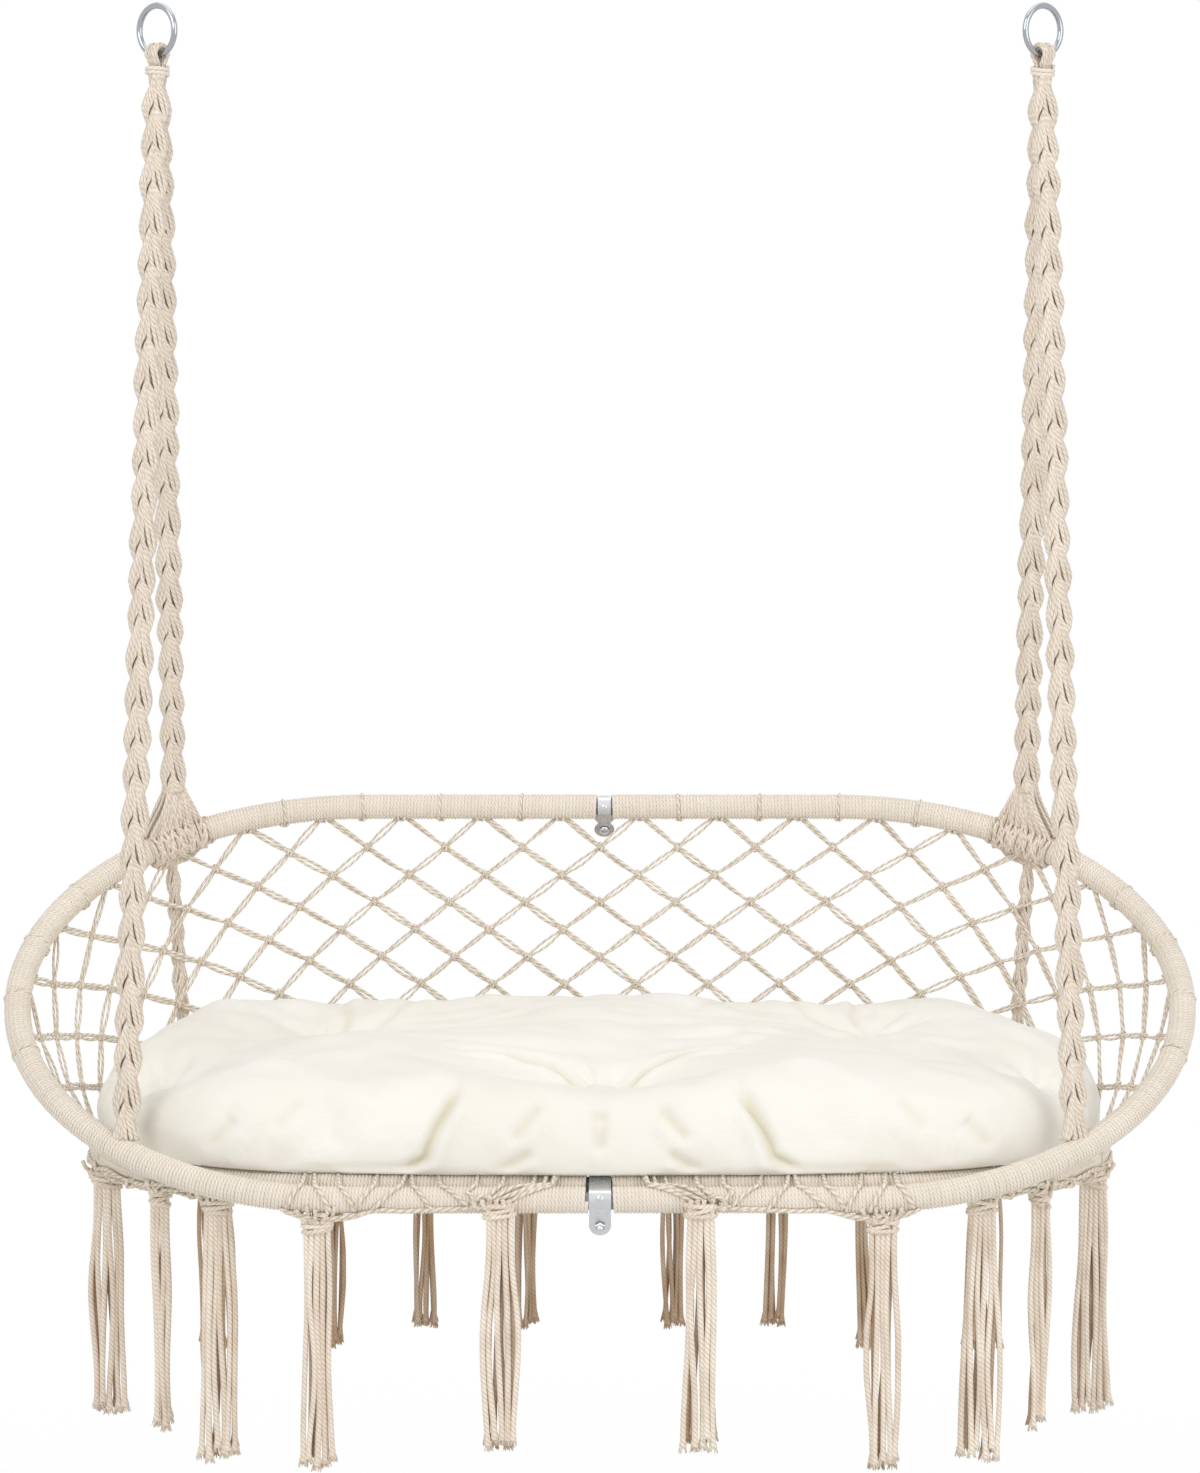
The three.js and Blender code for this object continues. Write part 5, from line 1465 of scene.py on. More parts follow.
@dataclass
class Fringe:
    """Tassels of loose twisted cords under both hoops."""

    length: float = 245 * MM
    width: float = 42 * MM
    thickness: float = 17 * MM
    strand: float = 3.05 * MM
    hairs: int = 18
    lift: float = 19 * MM
    # Place along the hoop, length, width, and strands in front and behind, from the middle out.
    front: tuple = (
        (0.164, 0.97, 1.05, (5, 4)),
        (0.463, 1.07, 0.9, (5, 3)),
        (0.739, 1.12, 1.12, (6, 4)),
        (0.858, 1.03, 0.62, (4, 2)),
        (0.981, 1.06, 1.05, (6, 4)),
    )
    back: tuple = (
        (0.154, 0.96, 0.7, (4, 3)),
        (0.369, 0.96, 0.7, (4, 3)),
        (0.56, 1.05, 0.62, (4, 3)),
        (0.802, 1.02, 1.2, (5, 3)),
    )
    rng: random.Random = field(default_factory=lambda: random.Random(SEED * 7))

    def build(self) -> None:
        """Makes every tassel."""
        for side, label in SIDES:
            for row, tassels in (("front", self.front), ("back", self.back)):
                back = row == "back"
                for i, (reach, length, width, strands) in enumerate(tassels):
                    hoop = SEAT_HOOP if back or i > 1 else BACK_HOOP
                    raised = not back and i == 0
                    tassel = Tassel(
                        f"{row}_{label}_tassel_{i + 1}",
                        hoop,
                        side * reach * hoop.end,
                        back,
                        length * self.length,
                        width * self.width,
                        strands,
                        WRAP_RADIUS if raised else 0.0,
                        self.lift if raised else 0.0,
                    )
                    self.tassel(tassel)

    def tassel(self, tassel: Tassel) -> None:
        """Makes one tassel.

        Args:
            tassel: Its place and size.
        """
        distance = tassel.hoop.distance_at(tassel.reach, tassel.back)
        hold = tassel.hoop.at(distance) - np.array([0, tassel.forward, 0])
        mesh = CordMesh()
        knot = min(33 * MM, tassel.width * 0.86)
        for layer, count in enumerate(tassel.strands):
            for k in range(count):
                part = (k + 0.5) / count * 2 - 1
                self.strand_of(mesh, tassel, hold, part * (1, 0.8)[layer], knot, layer)
        self.head_of(mesh, tassel, hold + np.array([0, -tassel.rise * 0.25, tassel.rise]), knot)
        mesh.build(f"{tassel.name}_cords", Slot.TASSEL, tassel.name)

    def tint(self, tassel: Tassel, layer: int = 0) -> float:
        """Draws the lightness of one cord: cords behind hang in shade and look browner.

        Args:
            tassel: The tassel.
            layer: 0 for a cord in front, 1 for one behind.

        Returns:
            The lightness, from 0 to 1.
        """
        if tassel.back:
            return self.rng.uniform(0.0, 0.3)
        return self.rng.uniform(0.7, 1.0) if layer == 0 else self.rng.uniform(0.1, 0.4)

    def strand_of(
        self,
        mesh: CordMesh,
        tassel: Tassel,
        hold: Array,
        part: float,
        knot: float,
        layer: int,
    ) -> None:
        """Hangs one strand with its brushed-out end.

        Args:
            mesh: Where the strand goes.
            tassel: The tassel.
            hold: Place on the hoop's axis.
            part: Place across the tassel, from -1 to 1.
            knot: Width of its head.
            layer: 0 for the cords in front, 1 for those behind.
        """
        rng = self.rng
        length = tassel.length * rng.uniform(0.945, 1.0)
        thick = self.strand * (0.84 if tassel.back else 1.0) * rng.uniform(0.88, 1.05)
        top = tassel.rise - WRAP_RADIUS - 5 * MM
        bottom = -WRAP_RADIUS - length + 15 * MM
        t = np.linspace(0, 1, 20)
        z = top + (bottom - top) * t
        pinch = 0.42 * knot
        wide = pinch + (tassel.width / 2 - thick - pinch) * smooth(t * 1.7)
        phase = rng.uniform(0, ANY_ANGLE)
        sway = rng.uniform(1.0, 3.6) * MM * smooth(t * 2)
        x = part * wide * rng.uniform(0.9, 1.05)
        x = x + sway * np.sin(rng.uniform(0.5, 1.2) * ANY_ANGLE * t + phase)
        x = np.clip(x, thick - tassel.width / 2, tassel.width / 2 - thick)
        depth = (self.thickness / 2 - thick) * rng.uniform(0.5, 1.0) * (1 if layer else -1)
        y = depth * (0.6 + 0.4 * t) + 1.2 * MM * np.sin(4 * t + phase) * smooth(t * 2)
        y = y - tassel.rise * 0.3 * (1 - smooth(t * 3))
        path = hold + np.stack([x, y, z], 1)
        head = unit(path[-1] - path[-2])
        flare = path[-1] + np.array([3, 6, 9, 11])[:, None] * MM * head
        radii = np.concatenate([np.full(len(t), 1.0), (1.05, 1.2, 1.35, 1.1)]) * thick
        tone = self.tint(tassel, layer)
        mesh.add(np.concatenate([path, flare]), radii, (0, 1, 0), sides=7, tint=tone)
        end = flare[-1]
        for _ in range(self.hairs):
            angle = rng.uniform(0, ANY_ANGLE)
            lean = np.array([math.cos(angle), 0.6 * math.sin(angle), 0.0])
            s = np.linspace(0, 1, 4)[:, None]
            hair = end + lean * thick * rng.uniform(0.2, 1.0) - head * 8 * MM
            hair = hair + head * s * rng.uniform(11, 14) * MM + lean * s**1.5 * 3.0 * MM
            mesh.add(hair, (0.7 * MM, 0.8 * MM, 0.7 * MM, 0.35 * MM), (0, 1, 0), 4, tint=tone)

    def head_of(self, mesh: CordMesh, tassel: Tassel, hold: Array, knot: float) -> None:
        """Ties the head: loops that come from under the hoop and slanted turns round them.

        Args:
            mesh: Where the cords go.
            tassel: The tassel.
            hold: Place on the hoop's axis.
            knot: Width of the head.
        """
        rng = self.rng
        deep = self.thickness / 2 - 1.2 * MM
        for k in range(5):
            lean = (k - 2) / 2
            x = lean * knot * 0.42 + rng.uniform(-1.5, 1.5) * MM
            turn = np.radians(np.linspace(rng.uniform(15, 35), 84, 7))
            drop = np.linspace(0, 1, 5)[1:]
            y = -WRAP_RADIUS * np.cos(turn) * 1.1 + tassel.forward
            y = np.concatenate([y, y[-1] * (1 - drop) - deep * 0.6 * drop])
            z = -WRAP_RADIUS * np.sin(turn) * 1.1
            z = np.concatenate([z, z[-1] - drop * 9 * MM])
            path = hold + np.stack([np.linspace(x * 1.5, x, len(y)), y, z], 1)
            if not tassel.forward:
                mesh.add(path, self.strand * 0.75, (1, 0, 0), sides=6, tint=self.tint(tassel))
        for k in range(6):
            lean = (k - 2.5) / 2.5
            t = np.linspace(0, 1, 11)
            x = knot * (0.5 * lean * np.cos(t * 2.2) + rng.uniform(-0.1, 0.1) * np.sin(3.1 * t))
            y = deep * np.cos(t * np.pi * rng.uniform(0.8, 1.1)) * rng.choice((-1, 1))
            z = -WRAP_RADIUS + (3 - 19 * np.sin(np.pi * (0.05 + 0.5 * t))) * MM
            path = hold + np.stack([x, y, z], 1)
            mesh.add(path, self.strand * 0.8, (0, 1, 0), sides=6, tint=self.tint(tassel))
        for turn in range(3):
            t = np.linspace(0, 1, 17)
            angle = 2 * np.pi * rng.uniform(0.8, 1.1) * t + rng.uniform(0, ANY_ANGLE)
            wide = knot / 2 * rng.uniform(0.86, 1.0) - 0.8 * MM
            tilt = rng.uniform(-4.5, 4.5) * MM
            drop = -WRAP_RADIUS - (7 + 5.0 * turn) * MM + tilt * np.cos(angle)
            x, y = wide * np.cos(angle), deep * 1.12 * np.sin(angle)
            path = hold + np.stack([x, y, drop], 1)
            radial = unit(np.stack([x, y, 0 * x], 1))
            mesh.add(path, self.strand * 0.75, radial, sides=6, tint=self.tint(tassel))


@dataclass
class SeatCushion:
    """Loose-filled seat cushion: swollen by a cloth simulation, held down at its sewn tufts."""

    half_length: float = 522 * MM
    half_depth: float = 232 * MM
    straight: float = STRAIGHT_MM * MM
    rest: float = 14.8 * MM
    edge: float = 69 * MM
    crown: float = 17 * MM
    back_rise: float = 27 * MM
    tuft_depth: float = 27 * MM
    voxel: float = 7 * MM
    pressure: float = 4.0
    frames: int = 20
    tuft_reach: float = 46 * MM
    hold_reach: float = 9 * MM
    cap: float = 24 * MM
    tufts: tuple = ((0, -0.62), (-0.55, 0.3), (0.55, 0.3), (-0.86, -0.35), (0.86, -0.35))
    pulls: tuple = ((-0.28, 0.78), (0.28, 0.78), (0.0, 0.25))
    # Corners in mm, mirrored left and right, depth and half width in mm, as the photo shows them.
    top_creases: tuple = (
        (((150, -70), (100, -84), (52, -112), (8, -158)), 9.0, 5.0),
        (((308, 68), (288, 61), (268, 67)), 9.0, 5.5),
        (((272, 84), (270, 120), (276, 175)), 5.0, 5.5),
        (((262, 74), (225, 110), (190, 170)), 3.0, 7.0),
        (((430, -82), (462, -74)), 6.0, 6.0),
        (((96, 90), (130, 150), (150, 200)), 2.5, 9.0),
    )
    front_creases: tuple = (
        (((140, 98), (152, 80), (163, 62), (170, 46), (175, 32), (196, 17)), 15.0, 6.0),
        (((196, 19), (235, 17), (290, 17)), 5.0, 6.0),
        (((60, 84), (72, 68), (84, 54)), 7.0, 6.5),
        (((68, 38), (82, 28), (98, 17)), 7.0, 6.0),
        (((3, 80), (4, 62), (0, 44)), 5.0, 6.0),
        (((366, 70), (388, 44)), 5.0, 8.0),
        (((300, 88), (320, 64)), 4.0, 8.0),
    )

    def build(self) -> None:
        """Makes, swells, creases and dresses the cushion."""
        piece = self.shell()
        finish_with(piece, "REMESH", mode="VOXEL", voxel_size=self.voxel)
        self.swell(piece)
        finish_with(piece, "SUBSURF", levels=1, render_levels=1)
        bpy.ops.object.shade_smooth()
        self.work_surface(piece)
        dress(piece, Slot.CUSHION, Body.CUSHION, "seat_cushion")

    def outline(self, count: int, inset: float) -> Array:
        """Draws the rounded outline of the cushion in plan.

        Args:
            count: How many points.
            inset: How far inside the full outline.

        Returns:
            The points, evenly spaced.
        """
        angle = np.linspace(0, 2 * np.pi, 721)
        c, s = np.cos(angle), np.sin(angle)
        reach = self.half_length - self.straight
        flat = np.clip(c * 3.0, -1, 1) * self.straight
        u = flat + np.sign(c) * reach * np.clip(np.abs(c), 0, 1) ** 0.96
        line = np.stack([u, self.half_depth * np.where(s < 0, 1.07 * s, s)], 1)
        away = unit(np.stack([np.gradient(line[:, 1]), -np.gradient(line[:, 0])], 1))
        line = line - away * inset
        length = np.concatenate([[0], np.cumsum(np.linalg.norm(np.diff(line, axis=0), axis=1))])
        where = np.linspace(0, length[-1], count, endpoint=False)
        return np.stack([np.interp(where, length, line[:, i]) for i in (0, 1)], 1)

    def top(self, x: Array, y: Array, inset: float) -> Array:
        """Finds the height of the top.

        Args:
            x: Places along the seat.
            y: Places from front to back.
            inset: Distance from the edge, as a share of the half depth.

        Returns:
            Heights above the seat hoop's axis.
        """
        crown = (1 - (1 - inset) ** 2.4) * self.crown
        rise = self.back_rise * (y / self.half_depth + 1) / 2
        dip = np.zeros_like(x)
        for px, py in self.tufts:
            off = np.hypot(x - px * self.half_length, (y - py * self.half_depth) * 1.15)
            dip = np.maximum(dip, self.tuft_depth * np.exp(-((off / self.tuft_reach) ** 1.5)))
        for px, py in self.pulls:
            off = np.hypot((x - px * self.half_length) * 0.6, y - py * self.half_depth)
            dip = np.maximum(dip, 8 * MM * np.exp(-((off / self.tuft_reach) ** 2)))
        end = np.clip((np.abs(x) / self.half_length - 0.72) / 0.28, 0, 1)
        corner = 13 * np.exp(-(((np.abs(x) - 395 * MM) / (85 * MM)) ** 2))
        hollow = 7 * np.exp(-(((np.abs(x) - 235 * MM) / (60 * MM)) ** 2))
        rise = rise + (corner - hollow) * MM * smooth(y / self.half_depth + 0.2)
        return self.rest + self.edge + crown + rise - dip - 12 * MM * end**2

    def shell(self) -> Piece:
        """Lofts the plain shape.

        Returns:
            The cushion.
        """
        count = 200
        rows = []
        base = ((205, 0.0), (150, 0.0), (90, 0.0), (48, 0.0), (14, 0.3), (4, 1.6), (0.5, 6.0))
        for inset, high in base:
            line = self.outline(count, inset * MM)
            droop = 5 * MM * smooth((-line[:, 1] - 226 * MM) / (18 * MM))
            rows.append(np.column_stack([line, self.rest + high * MM - droop]))
        for part, inset in ((0.22, -1.0), (0.4, -2.5), (0.6, -1.0), (0.74, 3.0), (0.86, 9.0)):
            line = self.outline(count, inset * MM)
            high = self.top(line[:, 0], line[:, 1], 0.0)
            rows.append(np.column_stack([line, self.rest + (high - self.rest) * part]))
        for inset in (17, 28, 42, 58, 76, 95, 115, 136, 158, 180, 200, 210):
            line = self.outline(count, inset * MM)
            high = self.top(line[:, 0], line[:, 1], inset * MM / self.half_depth)
            rows.append(np.column_stack([line, high - 9 * MM * max(0.0, 1 - inset / 36) ** 2]))
        points = np.concatenate(rows) + SEAT_ORIGIN
        faces = []
        for r in range(len(rows) - 1):
            low, high = r * count, (r + 1) * count
            for i in range(count):
                j = (i + 1) % count
                faces.append([low + i, low + j, high + j, high + i])
        faces.append(list(range(count))[::-1])
        faces.append(list(range((len(rows) - 1) * count, len(rows) * count)))
        mesh = bpy.data.meshes.new("seat_cushion_cover")
        mesh.from_pydata(points.tolist(), [], faces)
        mesh.update()
        return add_piece("seat_cushion_cover", mesh)

    @staticmethod
    def read(piece: Piece, what: str) -> Array:
        """Reads a vector of every vertex.

        Args:
            piece: The cushion.
            what: Blender's name of the vector.

        Returns:
            One row a vertex, places in seat coordinates.
        """
        flat = np.empty(len(piece.data.vertices) * 3)
        piece.data.vertices.foreach_get(what, flat)
        rows = flat.reshape(-1, 3)
        return rows - SEAT_ORIGIN if what == "co" else rows

    @staticmethod
    def put(piece: Piece, places: Array) -> None:
        """Moves every vertex.

        Args:
            piece: The cushion.
            places: New places in seat coordinates.
        """
        piece.data.vertices.foreach_set("co", (places + SEAT_ORIGIN).ravel())
        piece.data.update()

    def swell(self, piece: Piece) -> None:
        """Blows the cushion up as cloth, with its base and tufts held.

        Args:
            piece: The evenly meshed cushion.
        """
        before = self.read(piece, "co")
        held = before[:, 2] < self.rest + 3 * MM
        for px, py in self.tufts:
            dx, dy = before[:, 0] - px * self.half_length, before[:, 1] - py * self.half_depth
            off = np.hypot(dx, dy)
            held |= (off < self.hold_reach) & (before[:, 2] > self.rest + 30 * MM)
        group = piece.vertex_groups.new(name="held")
        group.add(np.nonzero(held)[0].tolist(), 1.0, "REPLACE")
        cloth = piece.modifiers.new("swell", "CLOTH")
        cloth.settings.quality = 4
        cloth.settings.mass = 0.3
        cloth.settings.use_pressure = True
        cloth.settings.uniform_pressure_force = self.pressure
        cloth.settings.effector_weights.gravity = 0
        cloth.settings.vertex_group_mass = "held"
        cloth.settings.bending_stiffness = 0.4
        cloth.collision_settings.use_collision = False
        scene = bpy.context.scene
        for frame in range(1, self.frames + 1):
            scene.frame_set(frame)
        choose(piece)
        bpy.ops.object.modifier_apply(modifier=cloth.name)
        scene.frame_set(1)
        move = self.read(piece, "co") - before
        far = np.linalg.norm(move, axis=1, keepdims=True)
        move = move * np.minimum(1, self.cap / np.maximum(far, 1e-9))
        self.put(piece, before + move)
        piece.vertex_groups.clear()
        LOG.info("cushion swelled by up to %.1f mm", far.max() / MM)

    @staticmethod
    def valley(flat: Array, line: tuple, width: float) -> Array:
        """How deep in a sewn or pressed crease each place lies.

        Args:
            flat: Places in plan or in front view, two columns.
            line: Corners of the crease in that view, in mm.
            width: Half width of the crease.

        Returns:
            1 in the crease, falling to 0 beside it and at its ends.
        """
        corners = np.array(line, float) * MM
        best = np.zeros(len(flat))
        total = len(corners) - 1
        for k in range(total):
            start, run = corners[k], corners[k + 1] - corners[k]
            t = np.clip((flat - start) @ run / float(run @ run), 0, 1)
            off = np.linalg.norm(flat - start - t[:, None] * run, axis=1)
            along = (k + t) / total
            fade = np.clip(np.minimum(along, 1.15 - along) * 6, 0.15, 1)
            best = np.maximum(best, fade * np.exp(-((off / width) ** 2)))
        return best

    def work_surface(self, piece: Piece) -> None:
        """Adds what the filling and the stitches do: lumps, drawn folds, creases and their painted
        shade.

        Args:
            piece: The swollen cushion.
        """
        places, normal = self.read(piece, "co"), self.read(piece, "normal")
        count = len(places)
        x, y, z = places.T
        loose = np.clip((z - self.rest - 8 * MM) / (26 * MM), 0, 1)
        push = np.zeros(count)
        rng = random.Random(SEED * 5)
        for wave, high in ((230, 2.6), (140, 2.0), (85, 1.3), (52, 0.8)):
            for _ in range(5):
                way = rng.uniform(0, math.pi)
                k = 2 * math.pi / (wave * MM) * rng.uniform(0.8, 1.25)
                turn = (x * math.cos(way) + y * math.sin(way) + z * rng.uniform(-0.8, 0.8)) * k
                push += high * MM * 0.5 * np.sin(turn + rng.uniform(0, ANY_ANGLE))
        for px, py in self.tufts:
            dx, dy = x - px * self.half_length, y - py * self.half_depth
            off = np.hypot(dx, dy)
            spoke = np.cos(np.arctan2(dy, dx) * rng.choice((7, 8, 9)) + rng.uniform(0, 6))
            near = np.exp(-((off - 24 * MM) / (34 * MM)) ** 2) * (off > 4 * MM)
            push += 1.7 * MM * spoke * near * (z > self.rest + 30 * MM)
        push *= loose
        # Mask of the painted crease shade, kept in the crease attribute.
        crease_shade = np.zeros(count)
        low = np.clip((z - self.rest - 1 * MM) / (8 * MM), 0, 1)
        for lines, flat, near in (
            (self.top_creases, places[:, :2], smooth((z - self.rest - 45 * MM) / (20 * MM))),
            (self.front_creases, places[:, [0, 2]], smooth((-y - 150 * MM) / (40 * MM))),
        ):
            for line, depth, width in lines:
                for side in (-1, 1):
                    mirrored = np.array(line, float) * (side, 1)
                    deep = depth * (1.0 if side > 0 else 0.9) * near * low
                    valley = self.valley(flat, mirrored, width * MM)
                    push -= deep * MM * valley
                    raised = mirrored + (-side * 6, -10)
                    push += 0.45 * deep * MM * self.valley(flat, raised, width * 1.9 * MM)
                    crease_shade = np.maximum(crease_shade, self.valley(flat, mirrored, width * 0.7 * MM) * deep)
        self.put(piece, places + normal * push[:, None])
        # Painted shade along the creases, read by the canvas material.
        shade = piece.data.attributes.new("crease", "FLOAT", "POINT")
        shade.data.foreach_set("value", np.clip(crease_shade / 15, 0, 0.55).astype(np.float32))


@dataclass
class Fasteners:
    """Bolts, acorn nuts and small screws of the three folded brackets, and the frame's finishes."""

    tube_and_strap: float = 12.3 * MM
    drop: float = 23 * MM
    clear: float = 0.3 * MM
    spacing: float = 29.1 * MM
    offset: float = 4.7 * MM
    screw_angle: float = 35.0

    def build(self, nodes: dict[str, Piece]) -> None:
        """Makes the fasteners and gives the CAD nodes that stay their finishes.

        Args:
            nodes: The frame's CAD nodes by name.
        """
        for name, node in nodes.items():
            slot = Slot.BRACKET if name.endswith("_bracket") else Slot.TUBE
            if name.endswith("_bracket") or "_tube_" in name or "_splice_" in name:
                paint(node, slot)
        head = self.pan_head("bolt_model", 5.0, 2.8, 2.5, 10.0)
        small = self.pan_head("screw_model", 3.6, 2.0, 1.8, 3.8)
        nut = self.acorn_nut()
        front = BACK_HOOP.place(0.0, -BACK_HOOP.depth)
        back = BACK_HOOP.place(self.offset, BACK_HOOP.depth)
        rear = SEAT_HOOP.place(self.offset, SEAT_HOOP.depth)
        for name, axis, tilt, spacing, way, screws in (
            ("front", front, 16, self.spacing, -1, 1),
            ("back", back, 33, 0.0, 1, 1),
            ("rear", rear, 0, 0.0, 1, 0),
        ):
            turn = Matrix.Rotation(math.radians(tilt), 3, "X")
            face = self.tube_and_strap
            nut_at = -face - self.clear if way < 0 else spacing + face + self.clear
            head_at = spacing + face if way < 0 else -face
            lean = math.radians(self.screw_angle)
            out = Vector((0, -math.cos(lean), math.sin(lean)))
            for model, new, old, local, facing in (
                (nut, "domed_nut", "acorn_nut", (0, nut_at, -self.drop), (0, way, 0)),
                (head, "cross_bolt", "bolt", (0, head_at, -self.drop), (0, -way, 0)),
                (small, "cross_screw", "screw", out * face, out),
            ):
                if screws or model is not small:
                    ends = f"{name}_{new}", f"{name}_{old}"
                    self.set_in(model, ends, axis, turn, local, facing)
        for model in (head, small, nut):
            bpy.data.objects.remove(model)

    @staticmethod
    def turned(name: str, sides: int, profile: list[tuple[float, float]]) -> Piece:
        """Draws a disc up through a turned profile, as on a lathe.

        Args:
            name: The piece's name.
            sides: Sides of the disc.
            profile: Radius and height of each ring, in mm, from the bottom up.

        Returns:
            A closed piece that stands on +Z.
        """
        choose()
        radius, height = profile[0]
        bpy.ops.mesh.primitive_circle_add(
            vertices=sides, radius=radius * MM, fill_type="NGON", location=(0, 0, height * MM)
        )
        piece = bpy.context.object
        piece.name = name
        bpy.ops.object.transform_apply(location=True, rotation=True, scale=True)
        bpy.ops.object.mode_set(mode="EDIT")
        bpy.ops.mesh.select_all(action="SELECT")
        for wide, high in profile[1:]:
            bpy.ops.mesh.extrude_region_move(
                TRANSFORM_OT_translate={"value": (0, 0, (high - height) * MM)}
            )
            share = wide / radius
            bpy.ops.transform.resize(
                value=(share, share, 1), center_override=(0, 0, high * MM)
            )
            radius, height = wide, high
        bpy.ops.mesh.select_all(action="SELECT")
        bpy.ops.mesh.normals_make_consistent(inside=False)
        bpy.ops.object.mode_set(mode="OBJECT")
        return piece

    def pan_head(
        self, name: str, radius: float, height: float, shank: float, length: float
    ) -> Piece:
        """Makes a pan head with a cross recess on its shank.

        Args:
            name: The model's name.
            radius: Head radius, in mm.
            height: Head height, in mm.
            shank: Shank radius, in mm.
            length: Shank length, in mm.

        Returns:
            The model: its seat at the origin, its head on +Z.
        """
        crown = [
            (radius * math.cos(a), height * (0.4 + 0.6 * math.sin(a)))
            for a in np.radians((12, 30, 48, 64, 78))
        ]
        profile = [(shank * 0.8, -length), (shank, -length + 0.4), (shank, 0.0), (radius, 0.02)]
        piece = self.turned(name, 28, [*profile, (radius, height * 0.4), *crown, (0.3, height)])
        for turn in (0.0, math.pi / 2):
            choose()
            bpy.ops.mesh.primitive_cube_add(
                size=1,
                location=(0, 0, height * MM),
                rotation=(0, 0, turn),
                scale=(radius * 1.15 * MM, radius * 0.24 * MM, height * 1.1 * MM),
            )
            cutter = bpy.context.object
            finish_with(piece, "BOOLEAN", object=cutter, operation="DIFFERENCE")
            bpy.data.objects.remove(cutter)
        edge = {"width": 0.12 * MM, "segments": 1, "angle_limit": math.radians(50)}
        finish_with(piece, "BEVEL", limit_method="ANGLE", **edge)
        bpy.ops.object.shade_smooth_by_angle(angle=math.radians(35))
        return piece

    def acorn_nut(self) -> Piece:
        """Makes an acorn nut: a chamfered hexagon with a polished dome.

        Returns:
            The model, its seat at the origin and its dome on +Z.
        """
        hexagon = self.turned("nut_model", 6, [(4.9, 0), (5.4, 0.5), (5.4, 3.6), (4.7, 4.2)])
        dome = [(4.3 * math.cos(a), 4.2 + 4.3 * math.sin(a)) for a in np.radians(range(0, 88, 11))]
        cap = self.turned("nut_dome", 28, [(4.3, 3.4), *dome, (0.2, 8.5)])
        choose(hexagon, cap)
        bpy.ops.object.join()
        bpy.ops.object.shade_smooth_by_angle(angle=math.radians(32))
        return hexagon

    @staticmethod
    def set_in(
        model: Piece,
        names: tuple[str, str],
        axis: Array,
        turn: Matrix,
        local: tuple | Vector,
        way: tuple | Vector,
    ) -> None:
        """Copies a model to its place on a bracket.

        Args:
            model: The piece to copy, its seat at the origin and its head on +Z.
            names: The copy's name and the CAD node that it replaces.
            axis: The tube's axis at the bracket.
            turn: The bracket's turn.
            local: The seat's place on the untilted bracket.
            way: Where the head faces on the untilted bracket.
        """
        mesh = model.data.copy()
        face = (turn @ Vector(way)).to_track_quat("Z", "Y").to_matrix()
        place = Vector(axis) + turn @ Vector(local)
        mesh.transform(Matrix.Translation(place) @ face.to_4x4())
        dress(add_piece(names[0], mesh), Slot.BRACKET, Body.SEAT, names[1])


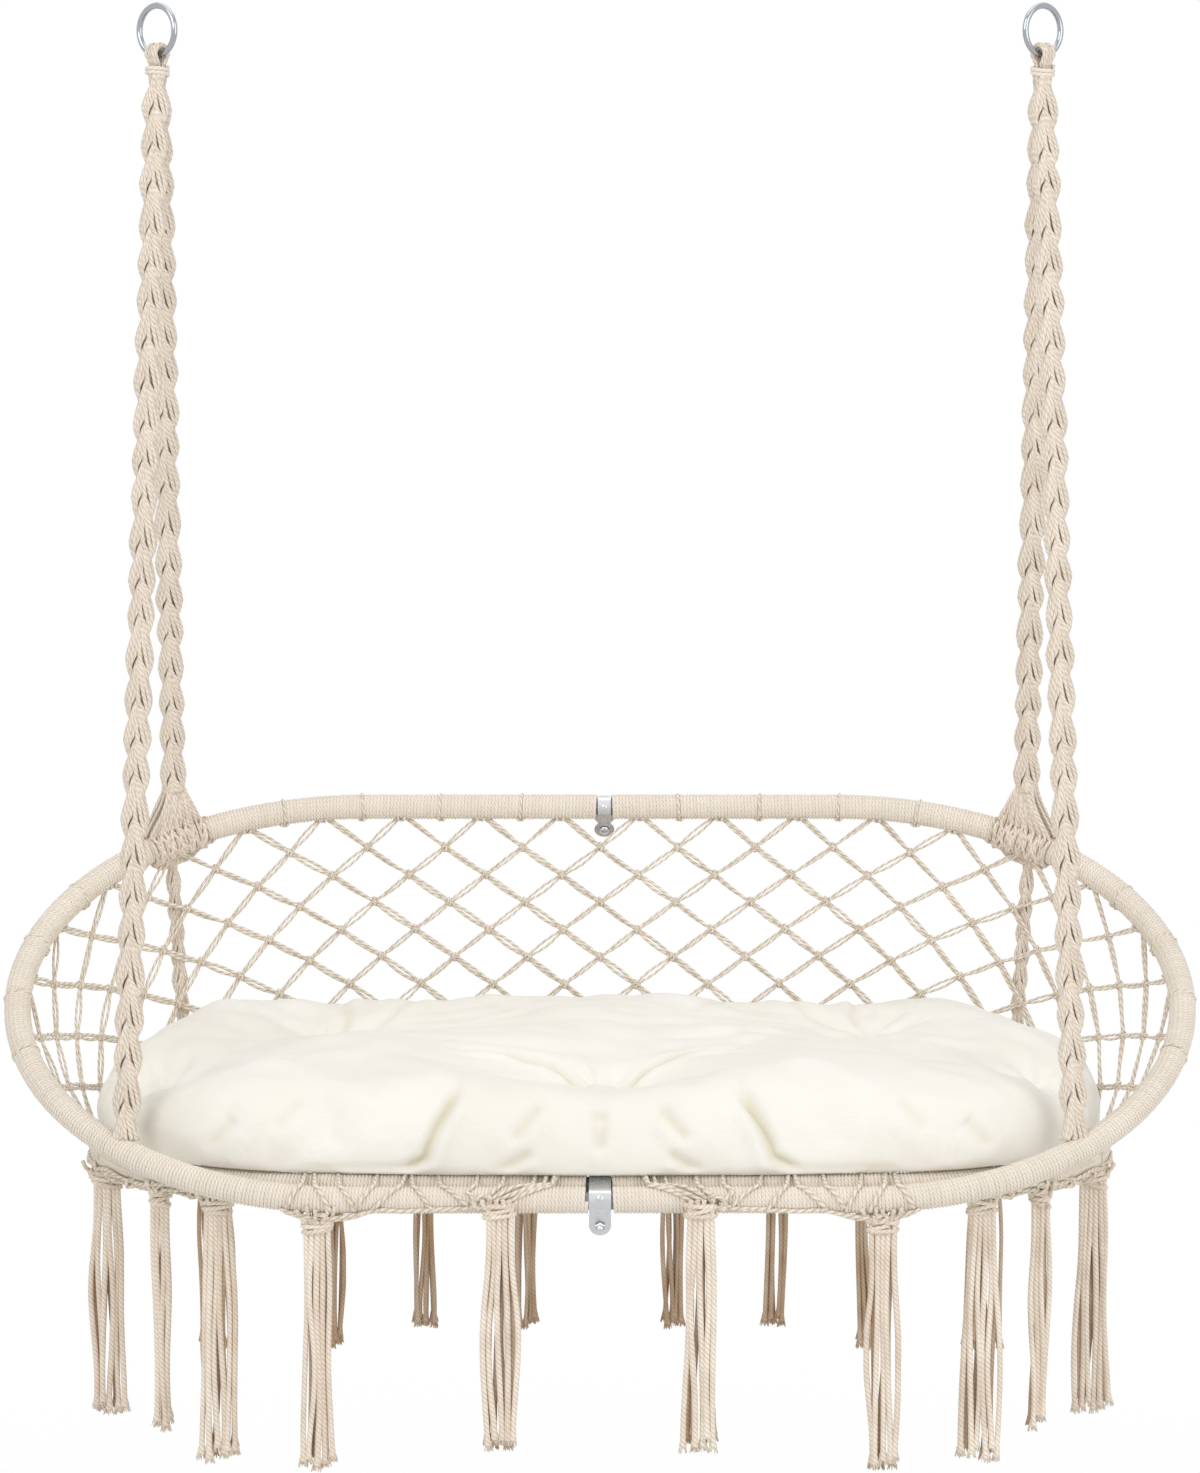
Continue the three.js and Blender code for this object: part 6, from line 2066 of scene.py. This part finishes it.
@dataclass
class Studio:
    """White floor, soft lights and the camera at the photograph's view."""

    eye: tuple = (0.0, -5.012, -0.231)
    pitch: float = 84.085
    lens: float = 118.24
    floor: float = -1.78
    lamp_side: float = 3.0
    lamps: tuple = (
        ("key", (-2.2, -3.0, 1.6), 62),
        ("fill", (2.6, -2.6, 0.4), 42),
        ("top", (0.0, 0.4, 2.4), 26),
    )

    def build(self) -> None:
        """Makes the stage."""
        scene = bpy.context.scene
        scene.view_settings.view_transform = "Standard"
        camera = bpy.data.objects.new("camera", bpy.data.cameras.new("camera"))
        camera.data.lens = self.lens
        camera.data.sensor_fit = "VERTICAL"
        camera.data.sensor_height = 36
        camera.location = self.eye
        camera.rotation_euler = (math.radians(self.pitch), 0, 0)
        scene.collection.objects.link(camera)
        scene.camera = camera
        for name, place, power in self.lamps:
            self.light(name, place, power)
        self.ground()
        self.sky(scene)

    def light(self, name: str, place: tuple, power: float) -> None:
        """Adds a soft square lamp that looks at the chair.

        Args:
            name: Its name.
            place: Where it stands.
            power: Its power, in watts.
        """
        lamp = bpy.data.lights.new(name, "AREA")
        lamp.size = self.lamp_side
        lamp.energy = power
        made = bpy.data.objects.new(name, lamp)
        made.location = place
        aim = Vector((0, 0, -0.7)) - Vector(place)
        made.rotation_euler = aim.to_track_quat("-Z", "Y").to_euler()
        bpy.context.scene.collection.objects.link(made)

    def ground(self) -> None:
        """Lays the floor, white to the camera, that keeps the shadow."""
        choose()
        bpy.ops.mesh.primitive_plane_add(size=30, location=(0, 0, self.floor))
        floor = bpy.context.object
        floor.name = "studio_floor"
        material, kit, shader = new_material("white_studio_floor")
        place = kit.add("TexCoord")["Object"]
        grain = kit.add("TexNoise", {"Vector": place, "Scale": 40.0, "Detail": 2.0})["Fac"]
        links = {"Strength": 0.05, "Distance": 0.5 * MM, "Height": grain}
        looks = {
            "Base Color": linear("F4F4F2"),
            "Roughness": 0.9,
            "Normal": kit.add("Bump", links)[0],
        }
        kit.feed(shader, looks)
        path = kit.add("LightPath")
        links = {0: path["Is Camera Ray"], 1: path["Is Glossy Ray"]}
        seen = kit.add("Math", links, operation="MAXIMUM")[0]
        far = kit.add("VectorMath", {0: place}, operation="LENGTH")["Value"]
        links = {"Value": far, "From Min": 0.3, "From Max": 1.6, "To Min": 0.93, "To Max": 1.0}
        fade = kit.add("MapRange", links)[0]
        part = kit.add("Math", {0: seen, 1: fade}, operation="MULTIPLY")[0]
        glow = kit.add("Emission", {"Color": (1, 1, 1, 1), "Strength": 1.0})[0]
        mixed = kit.add("MixShader", {0: part, 1: shader.outputs[0], 2: glow})[0]
        kit.feed(kit.tree.nodes["Material Output"], {0: mixed})
        floor.data.materials.append(material)

    @staticmethod
    def sky(scene: bpy.types.Scene) -> None:
        """White world to camera, glossy and transmission rays; softer light for the rest.

        Args:
            scene: The scene that gets the world.
        """
        world = bpy.data.worlds.new("studio")
        scene.world = world
        world.use_nodes = True
        kit = NodeKit(world.node_tree)
        path = kit.add("LightPath")
        links = {0: path["Is Camera Ray"], 1: path["Is Glossy Ray"]}
        first = kit.add("Math", links, operation="MAXIMUM")[0]
        links = {0: first, 1: path["Is Transmission Ray"]}
        seen = kit.add("Math", links, operation="MAXIMUM")[0]
        power = kit.add("MapRange", {"Value": seen, "To Min": 0.55, "To Max": 1.0})[0]
        looks = {"Color": (1, 1, 1, 1), "Strength": power}
        kit.feed(kit.tree.nodes["Background"], looks)


def main() -> None:
    """Builds the chair and its stage."""
    logging.basicConfig(level=logging.INFO, format="%(message)s")
    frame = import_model()
    for slot, finish in FINISHES.items():
        MATERIALS[slot] = finish.build()
    Studio().build()
    for part in (Suspension(), HoopWrapping(), NetWork(), Fringe(), SeatCushion()):
        part.build()
        LOG.info("made %s", type(part).__name__)
    Fasteners().build(frame["nodes"])


if __name__ == "__main__":
    main()
